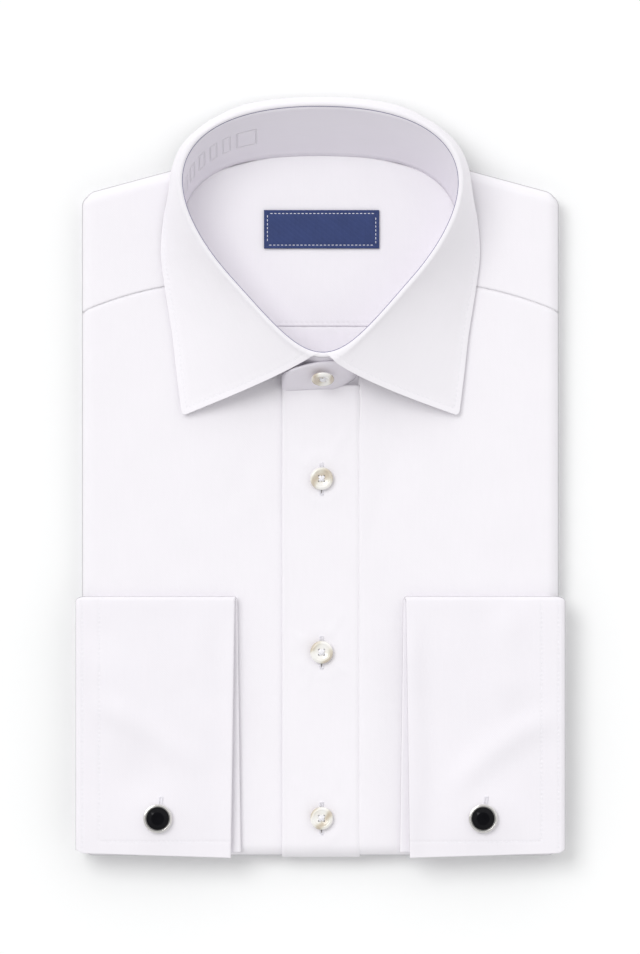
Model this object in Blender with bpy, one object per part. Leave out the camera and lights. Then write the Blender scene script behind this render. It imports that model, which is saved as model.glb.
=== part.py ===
"""Long sleeve dress shirt, folded flat for the shelf, with French cuffs and cufflinks.

+X is the wearer's left, +Y runs towards the collar, +Z is up.  The origin is the middle of
the underside.  Sizes and tables are in millimetres and become metres in to_metres.
"""
from math import atan2, cos, degrees, exp, hypot, pi, radians, sin, sqrt

import bmesh
import bpy
from mathutils import Vector

# ---- driving sizes, mm ---------------------------------------------------------------
HALF_WIDTH = 119.4        # folded side edge
BOTTOM = -189.4           # folded bottom edge
SHOULDER_TOP = 174.3      # where the two shoulder lines would meet
SHOULDER_SLOPE = 0.273
SHOULDER_BLEND = 12.0

CLOTH = 1.1               # wall of one cloth piece
COLLAR_CLOTH = 1.4        # stiffened wall of the collar
STAND_CLOTH = 1.2         # stiffened wall of its stand
GAP = 0.3                 # clearance between pieces that touch
EDGE_R = 6.0              # outer radius of the folded edges

PILE_TOP = 10.0           # top of the hidden layers
BACK_TOP = PILE_TOP + GAP + CLOTH
FRONT_TOP = BACK_TOP + GAP + CLOTH
PLACKET_TOP = FRONT_TOP + GAP + CLOTH

PLACKET_LEFT = 18.9
PLACKET_RIGHT = -19.2
PLACKET_END = 46.0        # upper end, beneath the foot of the stand
NECK_FOOT_Y = 45.0        # the fronts below this height reach the placket
PLACKET_RISE = 0.9        # how far the left front rises to the placket's sewn edge
YOKE_SEAM_BACK = 75.2     # seam between back yoke and back, seen through the neck

CUFF_TOP = -59.5
CUFF_BOTTOM = -190.2
CUFF_CLOTH = 1.0
CUFF_GAP = 0.3
CUFF_EDGE_R = 6.0
CUFF_SIDE = 122.4
CUFFLINK_X = 81.2
CUFFLINK_Y = -170.4
CUFFLINK_SWELL = 2.0      # how far a cufflink's back lifts the cuff
CUFFLINK_SWELL_REACH = 12.0

BUTTON_R = 5.7
BUTTON_HEIGHT = 2.4
BUTTON_YS = (-0.7, -87.5, -170.5)
BUTTON_X = 0.6

# ---- collar --------------------------------------------------------------------------
# Half of the neck line in plan, front middle to back middle, as Bezier anchors.
NECK_ANCHORS = [
    dict(x=0.0, y=62.1, heading=0.0, reach_in=0.0, reach_out=18.7),
    dict(x=40.4, y=100.0, heading=53.6, reach_in=11.7, reach_out=8.6),
    dict(x=68.6, y=147.0, heading=90.0, reach_in=23.5, reach_out=18.8),
    dict(x=0.0, y=184.2, heading=180.0, reach_in=51.2, reach_out=0.0),
]
NECK_SKEW = 0.014         # the folded collar leans a little to one side

# One row a section of the collar, front end to back middle.  share: how far along the
# neck line; lean: how far the stand leans towards +Y; foot: stand's lower edge;
# roll: height of the fold; leaf_*: free edge of the fall.
COLLAR_SECTIONS = [
    dict(share=0.030, lean=16.8, foot=14.6, roll=35.5, leaf_x=67.5, leaf_y=31.4, leaf_z=15.3),
    dict(share=0.110, lean=18.0, foot=14.0, roll=36.3, leaf_x=70.9, leaf_y=50.5, leaf_z=14.9),
    dict(share=0.200, lean=19.5, foot=13.2, roll=37.0, leaf_x=74.2, leaf_y=71.5, leaf_z=14.7),
    dict(share=0.300, lean=20.5, foot=13.2, roll=37.8, leaf_x=77.9, leaf_y=95.0, leaf_z=14.6),
    dict(share=0.400, lean=20.5, foot=13.2, roll=38.8, leaf_x=79.8, leaf_y=112.0, leaf_z=14.6),
    dict(share=0.490, lean=20.5, foot=13.2, roll=39.8, leaf_x=78.6, leaf_y=128.5, leaf_z=14.6),
    dict(share=0.570, lean=20.7, foot=13.0, roll=40.6, leaf_x=75.7, leaf_y=143.5, leaf_z=14.6),
    dict(share=0.635, lean=21.0, foot=12.6, roll=41.2, leaf_x=73.2, leaf_y=156.0, leaf_z=13.4),
    dict(share=0.705, lean=21.3, foot=12.5, roll=41.8, leaf_x=67.2, leaf_y=167.3, leaf_z=9.5),
    dict(share=0.780, lean=21.8, foot=12.5, roll=42.3, leaf_x=55.2, leaf_y=177.6, leaf_z=6.8),
    dict(share=0.870, lean=22.8, foot=12.5, roll=42.8, leaf_x=36.3, leaf_y=186.2, leaf_z=5.2),
    dict(share=1.000, lean=23.4, foot=12.5, roll=43.0, leaf_x=0.0, leaf_y=189.4, leaf_z=4.6),
]
ROLL_WIDTH = 4.3
ROLL_RISE = 2.0
TAB_END = -18.2           # rounded end of the stand's front tab
TAB_TOP = 0.82            # tab's height as a share of the stand's
TAB_STEP = 2.0            # how far the tab lies outside the end it laps over
UNDER_END = 14.0          # end of the stand beneath the tab
TAB_CORNER = 7.0
COLLAR_BUTTON_UP = 0.5    # button's middle up the tab, as a share of the stand's height

# ---- folded edges of the hidden layers: lower and upper face and inset of each layer ---
PILE_LAYERS = [
    dict(low=0.0, high=2.7, inset=0.5),
    dict(low=4.6, high=6.4, inset=0.6),
    dict(low=6.6, high=PILE_TOP, inset=2.2),
]
PILE_GROOVE = 4.2
PILE_CORNER = 8.0

MATERIALS = [
    dict(name="cloth_white", colour=(0.90, 0.88, 0.93), roughness=0.85, metallic=0.0),
    dict(name="stand_inner", colour=(0.74, 0.71, 0.78), roughness=0.85, metallic=0.0),
    dict(name="label_blue", colour=(0.05, 0.07, 0.19), roughness=0.75, metallic=0.0),
    dict(name="shell_button", colour=(0.80, 0.77, 0.70), roughness=0.25, metallic=0.0),
    dict(name="silver", colour=(0.80, 0.80, 0.82), roughness=0.18, metallic=1.0),
    dict(name="black_stone", colour=(0.004, 0.004, 0.006), roughness=0.05, metallic=0.0),
]


# ---- helpers ---------------------------------------------------------------------------
def clear_scene():
    for item in list(bpy.data.objects):
        bpy.data.objects.remove(item, do_unlink=True)


def make_materials():
    made = {}
    for row in MATERIALS:
        material = bpy.data.materials.new(row["name"])
        material.use_nodes = True
        shader = material.node_tree.nodes["Principled BSDF"]
        shader.inputs["Base Color"].default_value = (*row["colour"], 1.0)
        shader.inputs["Roughness"].default_value = row["roughness"]
        shader.inputs["Metallic"].default_value = row["metallic"]
        made[row["name"]] = material
    return made


def to_metres(point):
    return Vector(point) * 0.001


def smooth(low, high, value):
    share = min(max((value - low) / (high - low), 0.0), 1.0)
    return share * share * (3.0 - 2.0 * share)


def spread(low, high, count):
    return [low + (high - low) * i / (count - 1) for i in range(count)]


def mesh_object(name, points, faces, material):
    mesh = bpy.data.meshes.new(name)
    mesh.from_pydata([to_metres(p) for p in points], [], faces)
    mesh.materials.append(material)
    item = bpy.data.objects.new(name, mesh)
    bpy.context.collection.objects.link(item)
    return item


def cloth_wall(name, rows, material, thickness=CLOTH):
    """A wall of cloth: rows of points on its outer face, thickened inwards."""
    width = len(rows[0])
    points = [p for row in rows for p in row]
    faces = []
    for r in range(len(rows) - 1):
        for c in range(width - 1):
            a = r * width + c
            faces.append((a, a + 1, a + width + 1, a + width))
    item = mesh_object(name, points, faces, material)
    wall = item.modifiers.new("wall", 'SOLIDIFY')
    wall.thickness = thickness * 0.001
    wall.offset = -1.0
    wall.use_even_offset = True
    wall.use_quality_normals = True
    return item


def mirrored(rows):
    """The same wall on the other side, with its rows turned to keep its face outwards."""
    return [[(-x, y, z) for x, y, z in reversed(row)] for row in rows]


# ---- outline and folded edges ----------------------------------------------------------
def shoulder_y(x):
    return SHOULDER_TOP - SHOULDER_SLOPE * hypot(x, SHOULDER_BLEND)


def over_edge(side, end, radius):
    """Move a point that lies past the side and end bend lines round the folded edge."""
    side_out = max(side, 0.0)
    end_out = max(end, 0.0)
    reach = max(side_out, end_out)
    if reach == 0.0:
        return side, end, 0.0
    length = hypot(side_out, end_out)
    angle = reach / radius
    out = radius * sin(angle)
    new_side = side if side <= 0.0 else out * side_out / length
    new_end = end if end <= 0.0 else out * end_out / length
    return new_side, new_end, radius * (1.0 - cos(angle))


def edge_steps(radius, turn, count):
    """Lengths past a bend line that turn a sheet through an angle."""
    return [radius * radians(turn) * i / count for i in range(1, count + 1)]


def yoke_seam_y(x):
    from_collar = abs(x) - 78.0
    return 95.3 - 0.18 * from_collar - 0.003 * from_collar ** 2


# ---- neck line and collar ----------------------------------------------------------------
def neck_table(steps=40):
    """Points along half of the neck line with the distance travelled to each."""
    points = []
    for a, b in zip(NECK_ANCHORS, NECK_ANCHORS[1:]):
        start = Vector((a["x"], a["y"]))
        stop = Vector((b["x"], b["y"]))
        lead = Vector((cos(radians(a["heading"])), sin(radians(a["heading"]))))
        tail = Vector((cos(radians(b["heading"])), sin(radians(b["heading"]))))
        c0 = start + lead * a["reach_out"]
        c1 = stop - tail * b["reach_in"]
        for i in range(steps + 1):
            t = i / steps
            point = (start * (1 - t) ** 3 + c0 * 3 * t * (1 - t) ** 2
                     + c1 * 3 * t * t * (1 - t) + stop * t ** 3)
            if not points or (point - points[-1]).length > 1e-6:
                points.append(point)
    travelled = [0.0]
    for a, b in zip(points, points[1:]):
        travelled.append(travelled[-1] + (b - a).length)
    return points, [t / travelled[-1] for t in travelled], travelled[-1]


NECK_POINTS, NECK_SHARES, NECK_HALF_LENGTH = neck_table()


def neck_half(share):
    """Point of the half neck line at a share of its length, 0 front, 1 back."""
    share = min(max(share, 0.0), 1.0)
    for i in range(len(NECK_SHARES) - 1):
        if share <= NECK_SHARES[i + 1]:
            part = (share - NECK_SHARES[i]) / (NECK_SHARES[i + 1] - NECK_SHARES[i])
            return NECK_POINTS[i].lerp(NECK_POINTS[i + 1], part)
    return NECK_POINTS[-1].copy()


def neck(signed_share):
    """Point of the whole neck line: positive shares on +X, negative on -X."""
    point = neck_half(abs(signed_share))
    x = point.x if signed_share >= 0 else -point.x
    return Vector((x + NECK_SKEW * (145.0 - point.y), point.y))


def neck_normal(signed_share):
    """Outward direction of the neck line in plan."""
    step = 0.01
    if abs(signed_share) + step > 1.0:
        return Vector((0.0, 1.0))
    along = neck(signed_share + step) - neck(signed_share - step)
    return Vector((along.y, -along.x)).normalized()


def section(share, name):
    """A column of the section table, eased between its rows."""
    rows = COLLAR_SECTIONS
    share = min(max(share, rows[0]["share"]), rows[-1]["share"])
    k = 0
    while k < len(rows) - 2 and share > rows[k + 1]["share"]:
        k += 1

    def slope(i):
        if i == 0:
            a, b = rows[0], rows[1]
        elif i == len(rows) - 1:
            if name != "leaf_x":
                return 0.0
            a, b = rows[-2], rows[-1]
        else:
            a, b = rows[i - 1], rows[i + 1]
        return (b[name] - a[name]) / (b["share"] - a["share"])

    a, b = rows[k], rows[k + 1]
    span = b["share"] - a["share"]
    t = (share - a["share"]) / span
    return (a[name] * (1 + 2 * t) * (1 - t) ** 2 + slope(k) * span * t * (1 - t) ** 2
            + b[name] * t * t * (3 - 2 * t) + slope(k + 1) * span * t * t * (t - 1))


def collar_section(signed_share, drops):
    """Outer face of the collar at one section, from the neck line over the roll."""
    share = abs(signed_share)
    side = 1.0 if signed_share >= 0 else -1.0
    base = neck(signed_share)
    edge = Vector((side * section(share, "leaf_x"), section(share, "leaf_y")))
    roll_z = section(share, "roll")
    edge_z = section(share, "leaf_z")
    ruling = edge - base
    outward = neck_normal(signed_share)
    across = max(ruling.dot(outward) / ruling.length, 0.42)
    width = min(ROLL_WIDTH / across, ruling.length * 0.85)
    along = ruling.normalized()
    roll_end = base + along * width
    flatness = smooth(8.0, 30.0, ruling.length)
    points = []
    for turn in (0.0, 45.0, 90.0, 135.0):
        a = radians(turn)
        where = base + along * width * 0.5 * (1.0 - cos(a))
        points.append((where.x, where.y, roll_z + ROLL_RISE * sin(a)))
    start_z = roll_z - 0.2 + 0.6 * flatness
    bow = 1.6 * (1.0 - flatness)
    for t in drops:
        where = roll_end.lerp(edge, t) + outward * bow * sin(pi * t)
        z = start_z + (edge_z - start_z) * (t ** (1.0 - 0.12 * flatness))
        points.append((where.x, where.y, z))
    return points


def make_collar(materials):
    shares = [COLLAR_SECTIONS[0]["share"] + s for s in (0.0, 0.03, 0.07)]
    shares += spread(0.15, 0.9, 16) + [0.95]
    stations = shares + [1.0] + [-s for s in reversed(shares)]
    drops = (0.0, 0.2, 0.45, 0.72, 1.0)
    rows = [collar_section(s, drops) for s in stations]
    return cloth_wall("collar", rows, materials["cloth_white"], COLLAR_CLOTH)


def stand_section(signed_share, step_out, low, high):
    """Inner face of the stand at one section, foot to top."""
    share = abs(signed_share)
    top = neck(signed_share)
    lean = section(share, "lean")
    foot_z = section(share, "foot")
    top_z = section(share, "roll") - GAP - 0.8 * (1.0 - smooth(0.4, 0.7, share))
    out = neck_normal(signed_share) * step_out
    points = []
    for t in (low, low + (high - low) * 0.5, high):
        points.append((top.x + out.x, top.y - lean * (1.0 - t) + out.y,
                       foot_z + (top_z - foot_z) * t))
    return points


def neck_share_at(x):
    """Share of the front neck line at a distance x from its middle."""
    low, high = 0.0, 0.3
    for _ in range(30):
        middle = (low + high) / 2
        if neck_half(middle).x < abs(x):
            low = middle
        else:
            high = middle
    return low


def make_stand(materials):
    """The stand runs from its tab round the neck to the end beneath the tab."""
    rows = []
    tab_share = neck_share_at(TAB_END)
    tab_stations = spread(-tab_share, 0.10, 9)
    for s in tab_stations:
        reach = (s + tab_share) * NECK_HALF_LENGTH
        rounding = 1.0
        if reach < TAB_CORNER:
            rounding = sqrt(max(1.0 - (1.0 - reach / TAB_CORNER) ** 2, 0.0))
        top = 0.30 + (TAB_TOP - 0.30) * rounding
        top += (1.0 - TAB_TOP) * smooth(0.02, 0.10, s)
        step_out = TAB_STEP * (1.0 - smooth(0.06, 0.10, s))
        rows.append(stand_section(s, step_out, 0.0, top))
    rows += [stand_section(s, 0.0, 0.0, 1.0) for s in spread(0.15, 1.0, 18)]
    rows += [stand_section(-s, 0.0, 0.0, 1.0) for s in reversed(spread(0.1, 0.953, 18))]
    under = neck_share_at(UNDER_END)
    rows += [stand_section(s, 0.0, 0.06, 0.96) for s in spread(-0.06, under, 5)]
    return cloth_wall("collar_stand", rows, materials["stand_inner"], STAND_CLOTH)


# ---- body --------------------------------------------------------------------------------
def pile_outline():
    """Outline of the folded body in plan, with an outward direction at each point."""
    half = [(0.0, BOTTOM)]
    corner_x = HALF_WIDTH - PILE_CORNER
    for turn in spread(-90.0, 0.0, 5):
        a = radians(turn)
        half.append((corner_x + PILE_CORNER * cos(a), BOTTOM + PILE_CORNER * (1 + sin(a))))
    shoulder_angle = degrees(atan2(SHOULDER_SLOPE, 1.0))
    top_turn = 90.0 - shoulder_angle
    corner_y = shoulder_y(corner_x) - PILE_CORNER / cos(radians(shoulder_angle))
    half += [(HALF_WIDTH, y) for y in (-110.0, -30.0, 50.0)]
    for turn in spread(0.0, top_turn, 5):
        a = radians(turn)
        half.append((corner_x + PILE_CORNER * cos(a), corner_y + PILE_CORNER * sin(a)))
    half += [(x, shoulder_y(x)) for x in (90.0, 60.0, 30.0, 12.0)]
    full = half + [(0.0, shoulder_y(0.0))] + [(-x, y) for x, y in reversed(half[1:])]
    count = len(full)
    normals = []
    for i in range(count):
        before = Vector(full[i - 1])
        after = Vector(full[(i + 1) % count])
        along = (after - before).normalized()
        normals.append(Vector((along.y, -along.x)))
    return [Vector(p) for p in full], normals


def pile_profile():
    """Inset and height of each ring of the hidden layers, bottom to top."""
    rings = []
    for k, layer in enumerate(PILE_LAYERS):
        middle = (layer["low"] + layer["high"]) / 2
        half = (layer["high"] - layer["low"]) / 2
        for turn in (-90.0, -45.0, 0.0, 45.0, 90.0):
            a = radians(turn)
            depth = layer["inset"] + half * (1.0 - cos(a))
            z = middle + half * sin(a)
            rings.append((depth, z))
        if k == 0:
            rings.append((PILE_GROOVE, layer["high"]))
            rings.append((PILE_GROOVE, PILE_LAYERS[1]["low"]))
    return rings


def make_folded_layers(materials):
    outline, normals = pile_outline()
    rings = pile_profile()
    points = []
    for depth, z in rings:
        for p, n in zip(outline, normals):
            points.append((p.x - n.x * depth, p.y - n.y * depth, z))
    count = len(outline)
    faces = [tuple(reversed(range(count)))]
    for r in range(len(rings) - 1):
        for c in range(count):
            a = r * count + c
            b = r * count + (c + 1) % count
            faces.append((a, b, b + count, a + count))
    top = (len(rings) - 1) * count
    faces.append(tuple(range(top, top + count)))
    return mesh_object("folded_layers", points, faces, materials["cloth_white"])


def make_backs(materials):
    """Back and back yoke, which show through the neck, laid on the hidden layers."""
    inset = EDGE_R + GAP
    half = HALF_WIDTH - inset
    low_rows = [[(x, y, BACK_TOP) for x in (-half, -40.0, 40.0, half)]
                for y in (BOTTOM + inset, 0.0, YOKE_SEAM_BACK - GAP / 2)]
    xs = spread(-half, half, 11)
    high_rows = []
    for t in (0.0, 0.5, 1.0):
        bottom = YOKE_SEAM_BACK + GAP / 2
        high_rows.append([(x, bottom + (shoulder_y(x) - inset - bottom) * t, BACK_TOP) for x in xs])
    cloth_wall("back_panel", low_rows, materials["cloth_white"])
    cloth_wall("back_yoke", high_rows, materials["cloth_white"])


def neck_edge_x(y, side):
    """Inner edge of the fronts and yokes at a height y: just inside the stand's foot."""
    best = 0.0
    for i in range(61):
        share = 0.66 * i / 60
        point = neck(side * share)
        if point.y - section(share, "lean") <= y:
            best = abs(point.x) - 1.5
    return best


def front_height(x, y, side):
    """Top of a front: the left front rises to meet the placket's sewn edge."""
    if side < 0:
        return FRONT_TOP
    from_placket = smooth(PLACKET_LEFT + 1.0, PLACKET_LEFT + 20.0, x)
    return FRONT_TOP + PLACKET_RISE * (1.0 - from_placket) * (1.0 - smooth(20.0, 38.0, y))


def front_rows(side):
    inner = PLACKET_LEFT + GAP if side > 0 else -PLACKET_LEFT + 2.0
    bend_x = HALF_WIDTH - EDGE_R
    bend_y = BOTTOM + EDGE_R
    past = edge_steps(EDGE_R, 90.0, 5)
    tops = [1.0, 0.955, 0.91, 0.87, 0.835, 0.80, 0.765, 0.6, 0.4, 0.2, 0.0]
    rows = []
    for share in tops + [-p for p in past]:
        end = -share if share < 0 else 0.0
        row = []
        y_flat = bend_y + max(share, 0.0) * (yoke_seam_y(60.0) - bend_y)
        edge = max(neck_edge_x(y_flat, side), inner) if y_flat > NECK_FOOT_Y else inner
        columns = [edge + (bend_x - edge) * t for t in (0.0, 0.12, 0.3, 0.6, 1.0)]
        for x in columns + [bend_x + p for p in past]:
            top_y = yoke_seam_y(min(x, HALF_WIDTH)) - GAP * 0.8
            y = bend_y + max(share, 0.0) * (top_y - bend_y)
            dx, dy, drop = over_edge(x - bend_x, end, EDGE_R)
            z = front_height(x, y, side) - drop
            row.append((bend_x + dx, (bend_y - dy) if end > 0 else y, z))
        rows.append(row)
    return rows


def yoke_rows(side):
    bend_x = HALF_WIDTH - EDGE_R
    past = edge_steps(EDGE_R, 90.0, 5)
    rows = []
    shares = [1.0, 0.75, 0.5, 0.25, 0.0]
    for end in reversed(past):
        rows.append(yoke_row(side, 1.0, end, bend_x, past))
    for share in shares:
        rows.append(yoke_row(side, share, 0.0, bend_x, past))
    return rows


def yoke_row(side, share, end, bend_x, past):
    y_mid = yoke_seam_y(68.0) + share * (shoulder_y(68.0) - EDGE_R - yoke_seam_y(68.0))
    edge = neck_edge_x(min(y_mid, 122.0), side)
    edge += smooth(118.0, 134.0, y_mid) * (71.0 - edge)
    row = []
    for x in [edge + (bend_x - edge) * t for t in (0.0, 0.35, 0.7, 1.0)] + [bend_x + p for p in past]:
        flat_x = min(x, HALF_WIDTH)
        low = yoke_seam_y(flat_x) + GAP * 0.8
        high = shoulder_y(flat_x) - EDGE_R
        dx, dy, drop = over_edge(x - bend_x, end, EDGE_R)
        row.append((bend_x + dx, low + (high - low) * share + (dy if end > 0 else 0.0),
                    FRONT_TOP - drop))
    return row


def make_fronts_and_yokes(materials):
    for name, side in (("left", 1), ("right", -1)):
        front = front_rows(side)
        yoke = yoke_rows(side)
        if side < 0:
            front = mirrored(front)
            yoke = mirrored(yoke)
        cloth_wall("front_" + name, [list(reversed(r)) for r in front], materials["cloth_white"])
        cloth_wall("yoke_" + name, [list(reversed(r)) for r in yoke], materials["cloth_white"])


def make_placket(materials):
    radius = EDGE_R + GAP + CLOTH
    bend_y = BOTTOM + EDGE_R
    past = edge_steps(radius, 82.0, 5)
    xs = spread(PLACKET_RIGHT, PLACKET_LEFT, 5)
    rows = []
    for y in spread(PLACKET_END, bend_y, 6):
        rows.append([(x, y, PLACKET_TOP) for x in xs])
    for end in past:
        turn = end / radius
        rows.append([(x, bend_y - radius * sin(turn), PLACKET_TOP - radius * (1 - cos(turn)))
                     for x in xs])
    rows = [list(reversed(r)) for r in rows]
    return cloth_wall("placket", rows, materials["cloth_white"])


# ---- cuffs and sleeves ---------------------------------------------------------------------
def swell(x, y):
    away = hypot(abs(x) - CUFFLINK_X, y - CUFFLINK_Y)
    return CUFFLINK_SWELL * exp(-0.5 * (away / CUFFLINK_SWELL_REACH) ** 2)


CUFF_BASE = FRONT_TOP + GAP
CUFF_HALF = 2 * CUFF_CLOTH + 1.5 * CUFF_GAP
CUFF_MIDDLE = CUFF_BASE + CUFF_HALF
INNER_LEVEL = CUFF_GAP / 2
OUTER_LEVEL = CUFF_HALF
FREE_END = 112.0          # where the cuff's hidden end stops
CUFF_SLOPE = 2.4          # how far the outer bottom corner lies above the inner one
CUFF_STEP_UP = 2.8        # how far the lower half stops short of the upper one


def hand_edge(y, front):
    """Distance of the cuff's hand edge from the middle, for its front or back half."""
    down = (CUFF_TOP - y) / (CUFF_TOP - CUFF_BOTTOM)
    return 42.6 + 2.0 * down if front > 0.5 else 41.4 - 1.8 * down


def cuff_profile(y, front):
    """Across the cuff: x, level from its middle plane and how far past the side bend."""
    edge = hand_edge(y, 1.0) * front + hand_edge(y, 0.0) * (1.0 - front)
    radius = (OUTER_LEVEL - INNER_LEVEL) / 2
    line = [(FREE_END - GAP, INNER_LEVEL, 0.0)]
    line += [(x, INNER_LEVEL, 0.0) for x in (98.0, 81.0, 62.0)]
    for turn in spread(-90.0, 90.0, 5):
        a = radians(turn)
        line.append((edge + radius * (1 - cos(a)), INNER_LEVEL + radius * (1 + sin(a)), 0.0))
    line += [(x, OUTER_LEVEL, 0.0) for x in (62.0, 81.0, 98.0, FREE_END)]
    bend = CUFF_SIDE - CUFF_EDGE_R
    line += [(bend, OUTER_LEVEL, p) for p in [0.0] + edge_steps(CUFF_EDGE_R, 84.0, 4)]
    return line


def cuff_point(x, past, y, lift, front):
    """front is 1 on the upper half of the cuff, 0 on the lower half."""
    angle = past / CUFF_EDGE_R
    bent_x = x + CUFF_EDGE_R * sin(angle)
    bent_drop = CUFF_EDGE_R * (1.0 - cos(angle))
    flat_x = FREE_END + 0.1 * (x - FREE_END) + 0.1 * past if x > FREE_END else x
    px = bent_x * front + flat_x * (1.0 - front)
    return px, y, CUFF_MIDDLE + lift - bent_drop * front


def cuff_rows():
    front_ys = [CUFF_BOTTOM, -183.0, -176.0, -170.4, -164.0, -155.0, -125.0, -92.0]
    fold_y = CUFF_TOP - OUTER_LEVEL
    rows = []

    def add(y, front, tilt):
        row = []
        for x, level, past in cuff_profile(y, front):
            lift = level * sin(tilt)
            yy = y + level * cos(tilt)
            px, py, pz = cuff_point(x, past, yy, lift, front)
            if front > 0.99 and y < -180.0:
                py += CUFF_SLOPE * smooth(70.0, 122.0, px) * smooth(-180.0, CUFF_BOTTOM, y)
            row.append((px, py, pz + swell(px, py)))
        rows.append(row)

    for y in front_ys:
        add(y, 1.0, pi / 2)
    for turn in spread(90.0, -90.0, 7):
        add(fold_y, (1.0 + sin(radians(turn))) / 2, radians(turn))
    for y in reversed(front_ys):
        add(y + CUFF_STEP_UP * smooth(-160.0, CUFF_BOTTOM, y), 0.0, -pi / 2)
    return rows


def cut(item, cutter):
    cutter.hide_render = True
    cutter.display_type = 'WIRE'
    slit = item.modifiers.new("buttonhole", 'BOOLEAN')
    slit.operation = 'DIFFERENCE'
    slit.solver = 'EXACT'
    slit.object = cutter


def disc(name, radius, low, high, centre, material, sides=24):
    """A plain turned disc, used for holes and posts."""
    points = []
    for z in (low, high):
        for i in range(sides):
            a = 2 * pi * i / sides
            points.append((centre[0] + radius * cos(a), centre[1] + radius * sin(a), z))
    faces = [tuple(reversed(range(sides))), tuple(range(sides, 2 * sides))]
    faces += [(i, (i + 1) % sides, sides + (i + 1) % sides, sides + i) for i in range(sides)]
    return mesh_object(name, points, faces, material)


def make_cuffs(materials):
    for name, side in (("left", 1), ("right", -1)):
        rows = cuff_rows()
        if side < 0:
            rows = mirrored(rows)
        cuff = cloth_wall("cuff_" + name, rows, materials["cloth_white"], CUFF_CLOTH)
        hole = disc("hole_" + name, POST_R + GAP, CUFF_BASE - 2, CUFF_MIDDLE + 9,
                    (side * CUFFLINK_X, CUFFLINK_Y), materials["cloth_white"], 12)
        cut(cuff, hole)


def make_sleeves(materials):
    outer = CUFF_EDGE_R - CUFF_CLOTH - GAP
    centre_x = CUFF_SIDE - CUFF_EDGE_R
    centre_z = CUFF_MIDDLE + CUFF_HALF - CUFF_EDGE_R
    tuck = 2.1                # radius of the turn into the groove between the layers
    low_z = PILE_LAYERS[1]["low"] + 0.6
    profile = [(FREE_END + GAP, centre_z + outer)]
    for turn in spread(90.0, 0.0, 6):
        a = radians(turn)
        profile.append((centre_x + outer * cos(a), centre_z + outer * sin(a)))
    for turn in spread(0.0, -90.0, 5):
        a = radians(turn)
        profile.append((centre_x + outer - tuck * (1 - cos(a)), low_z + tuck * sin(a)))
    profile.append((HALF_WIDTH - PILE_GROOVE + GAP + CLOTH, low_z - tuck))
    ys = spread(CUFF_TOP - 5.0, BOTTOM + 3.5, 4)
    for name, side in (("left", 1), ("right", -1)):
        rows = [[(x, y, z) for x, z in profile] for y in ys]
        rows = [list(reversed(row)) for row in rows]
        if side < 0:
            rows = mirrored(rows)
        cloth_wall("sleeve_" + name, rows, materials["cloth_white"])


# ---- buttons, cufflinks and label ------------------------------------------------------------
def turned(name, profile, material, sides=28, place=(0, 0, 0), tilt=0.0, facets=False):
    """A closed turned solid from (radius, height) pairs, bottom to top."""
    bm = bmesh.new()
    rings = []
    for radius, z in profile:
        if radius == 0.0:
            rings.append([bm.verts.new(to_metres((0, 0, z)))])
            continue
        rings.append([bm.verts.new(to_metres((radius * cos(2 * pi * i / sides),
                                              radius * sin(2 * pi * i / sides), z)))
                      for i in range(sides)])
    for a, b in zip(rings, rings[1:]):
        for i in range(sides):
            j = (i + 1) % sides
            if len(a) == 1:
                bm.faces.new((a[0], b[j], b[i]))
            elif len(b) == 1:
                bm.faces.new((a[i], a[j], b[0]))
            else:
                bm.faces.new((a[i], a[j], b[j], b[i]))
    mesh = bpy.data.meshes.new(name)
    bmesh.ops.recalc_face_normals(bm, faces=bm.faces)
    bm.to_mesh(mesh)
    bm.free()
    if not facets:
        mesh.shade_smooth()
        mesh.set_sharp_from_angle(angle=radians(35))
    mesh.materials.append(material)
    item = bpy.data.objects.new(name, mesh)
    item.location = to_metres(place)
    item.rotation_euler = (tilt, 0.0, 0.0)
    bpy.context.collection.objects.link(item)
    return item


BUTTON_PROFILE = [
    (0.0, 0.0), (3.6, 0.0), (BUTTON_R - 0.4, 0.7), (BUTTON_R, 1.3), (BUTTON_R - 0.3, 2.0),
    (BUTTON_R - 0.9, BUTTON_HEIGHT), (BUTTON_R - 1.6, 2.2), (3.1, 1.55), (0.0, 1.45),
]
BUTTON_HOLE_R = 0.6
BUTTON_HOLE_STEP = 1.15


def make_button(name, place, tilt, material):
    button = turned(name, BUTTON_PROFILE, material, 28, place, tilt)
    for i, (sx, sy) in enumerate(((1, 1), (-1, 1), (-1, -1), (1, -1))):
        drill = disc(f"{name}_drill_{i}", BUTTON_HOLE_R, -1.0, 4.0,
                     (sx * BUTTON_HOLE_STEP, sy * BUTTON_HOLE_STEP), material, 8)
        drill.parent = button
        cut(button, drill)
    return button


POST_R = 1.1
SETTING_R = 7.25
STONE_R = 5.7
LINK_BASE = CUFF_MIDDLE + CUFF_HALF + CUFFLINK_SWELL + GAP


def stone_profile():
    return [(0.0, 0.0), (STONE_R - 0.3, 0.0), (STONE_R, 0.5), (STONE_R - 0.2, 0.9),
            (3.3, 2.2), (0.0, 2.2)]


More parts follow.
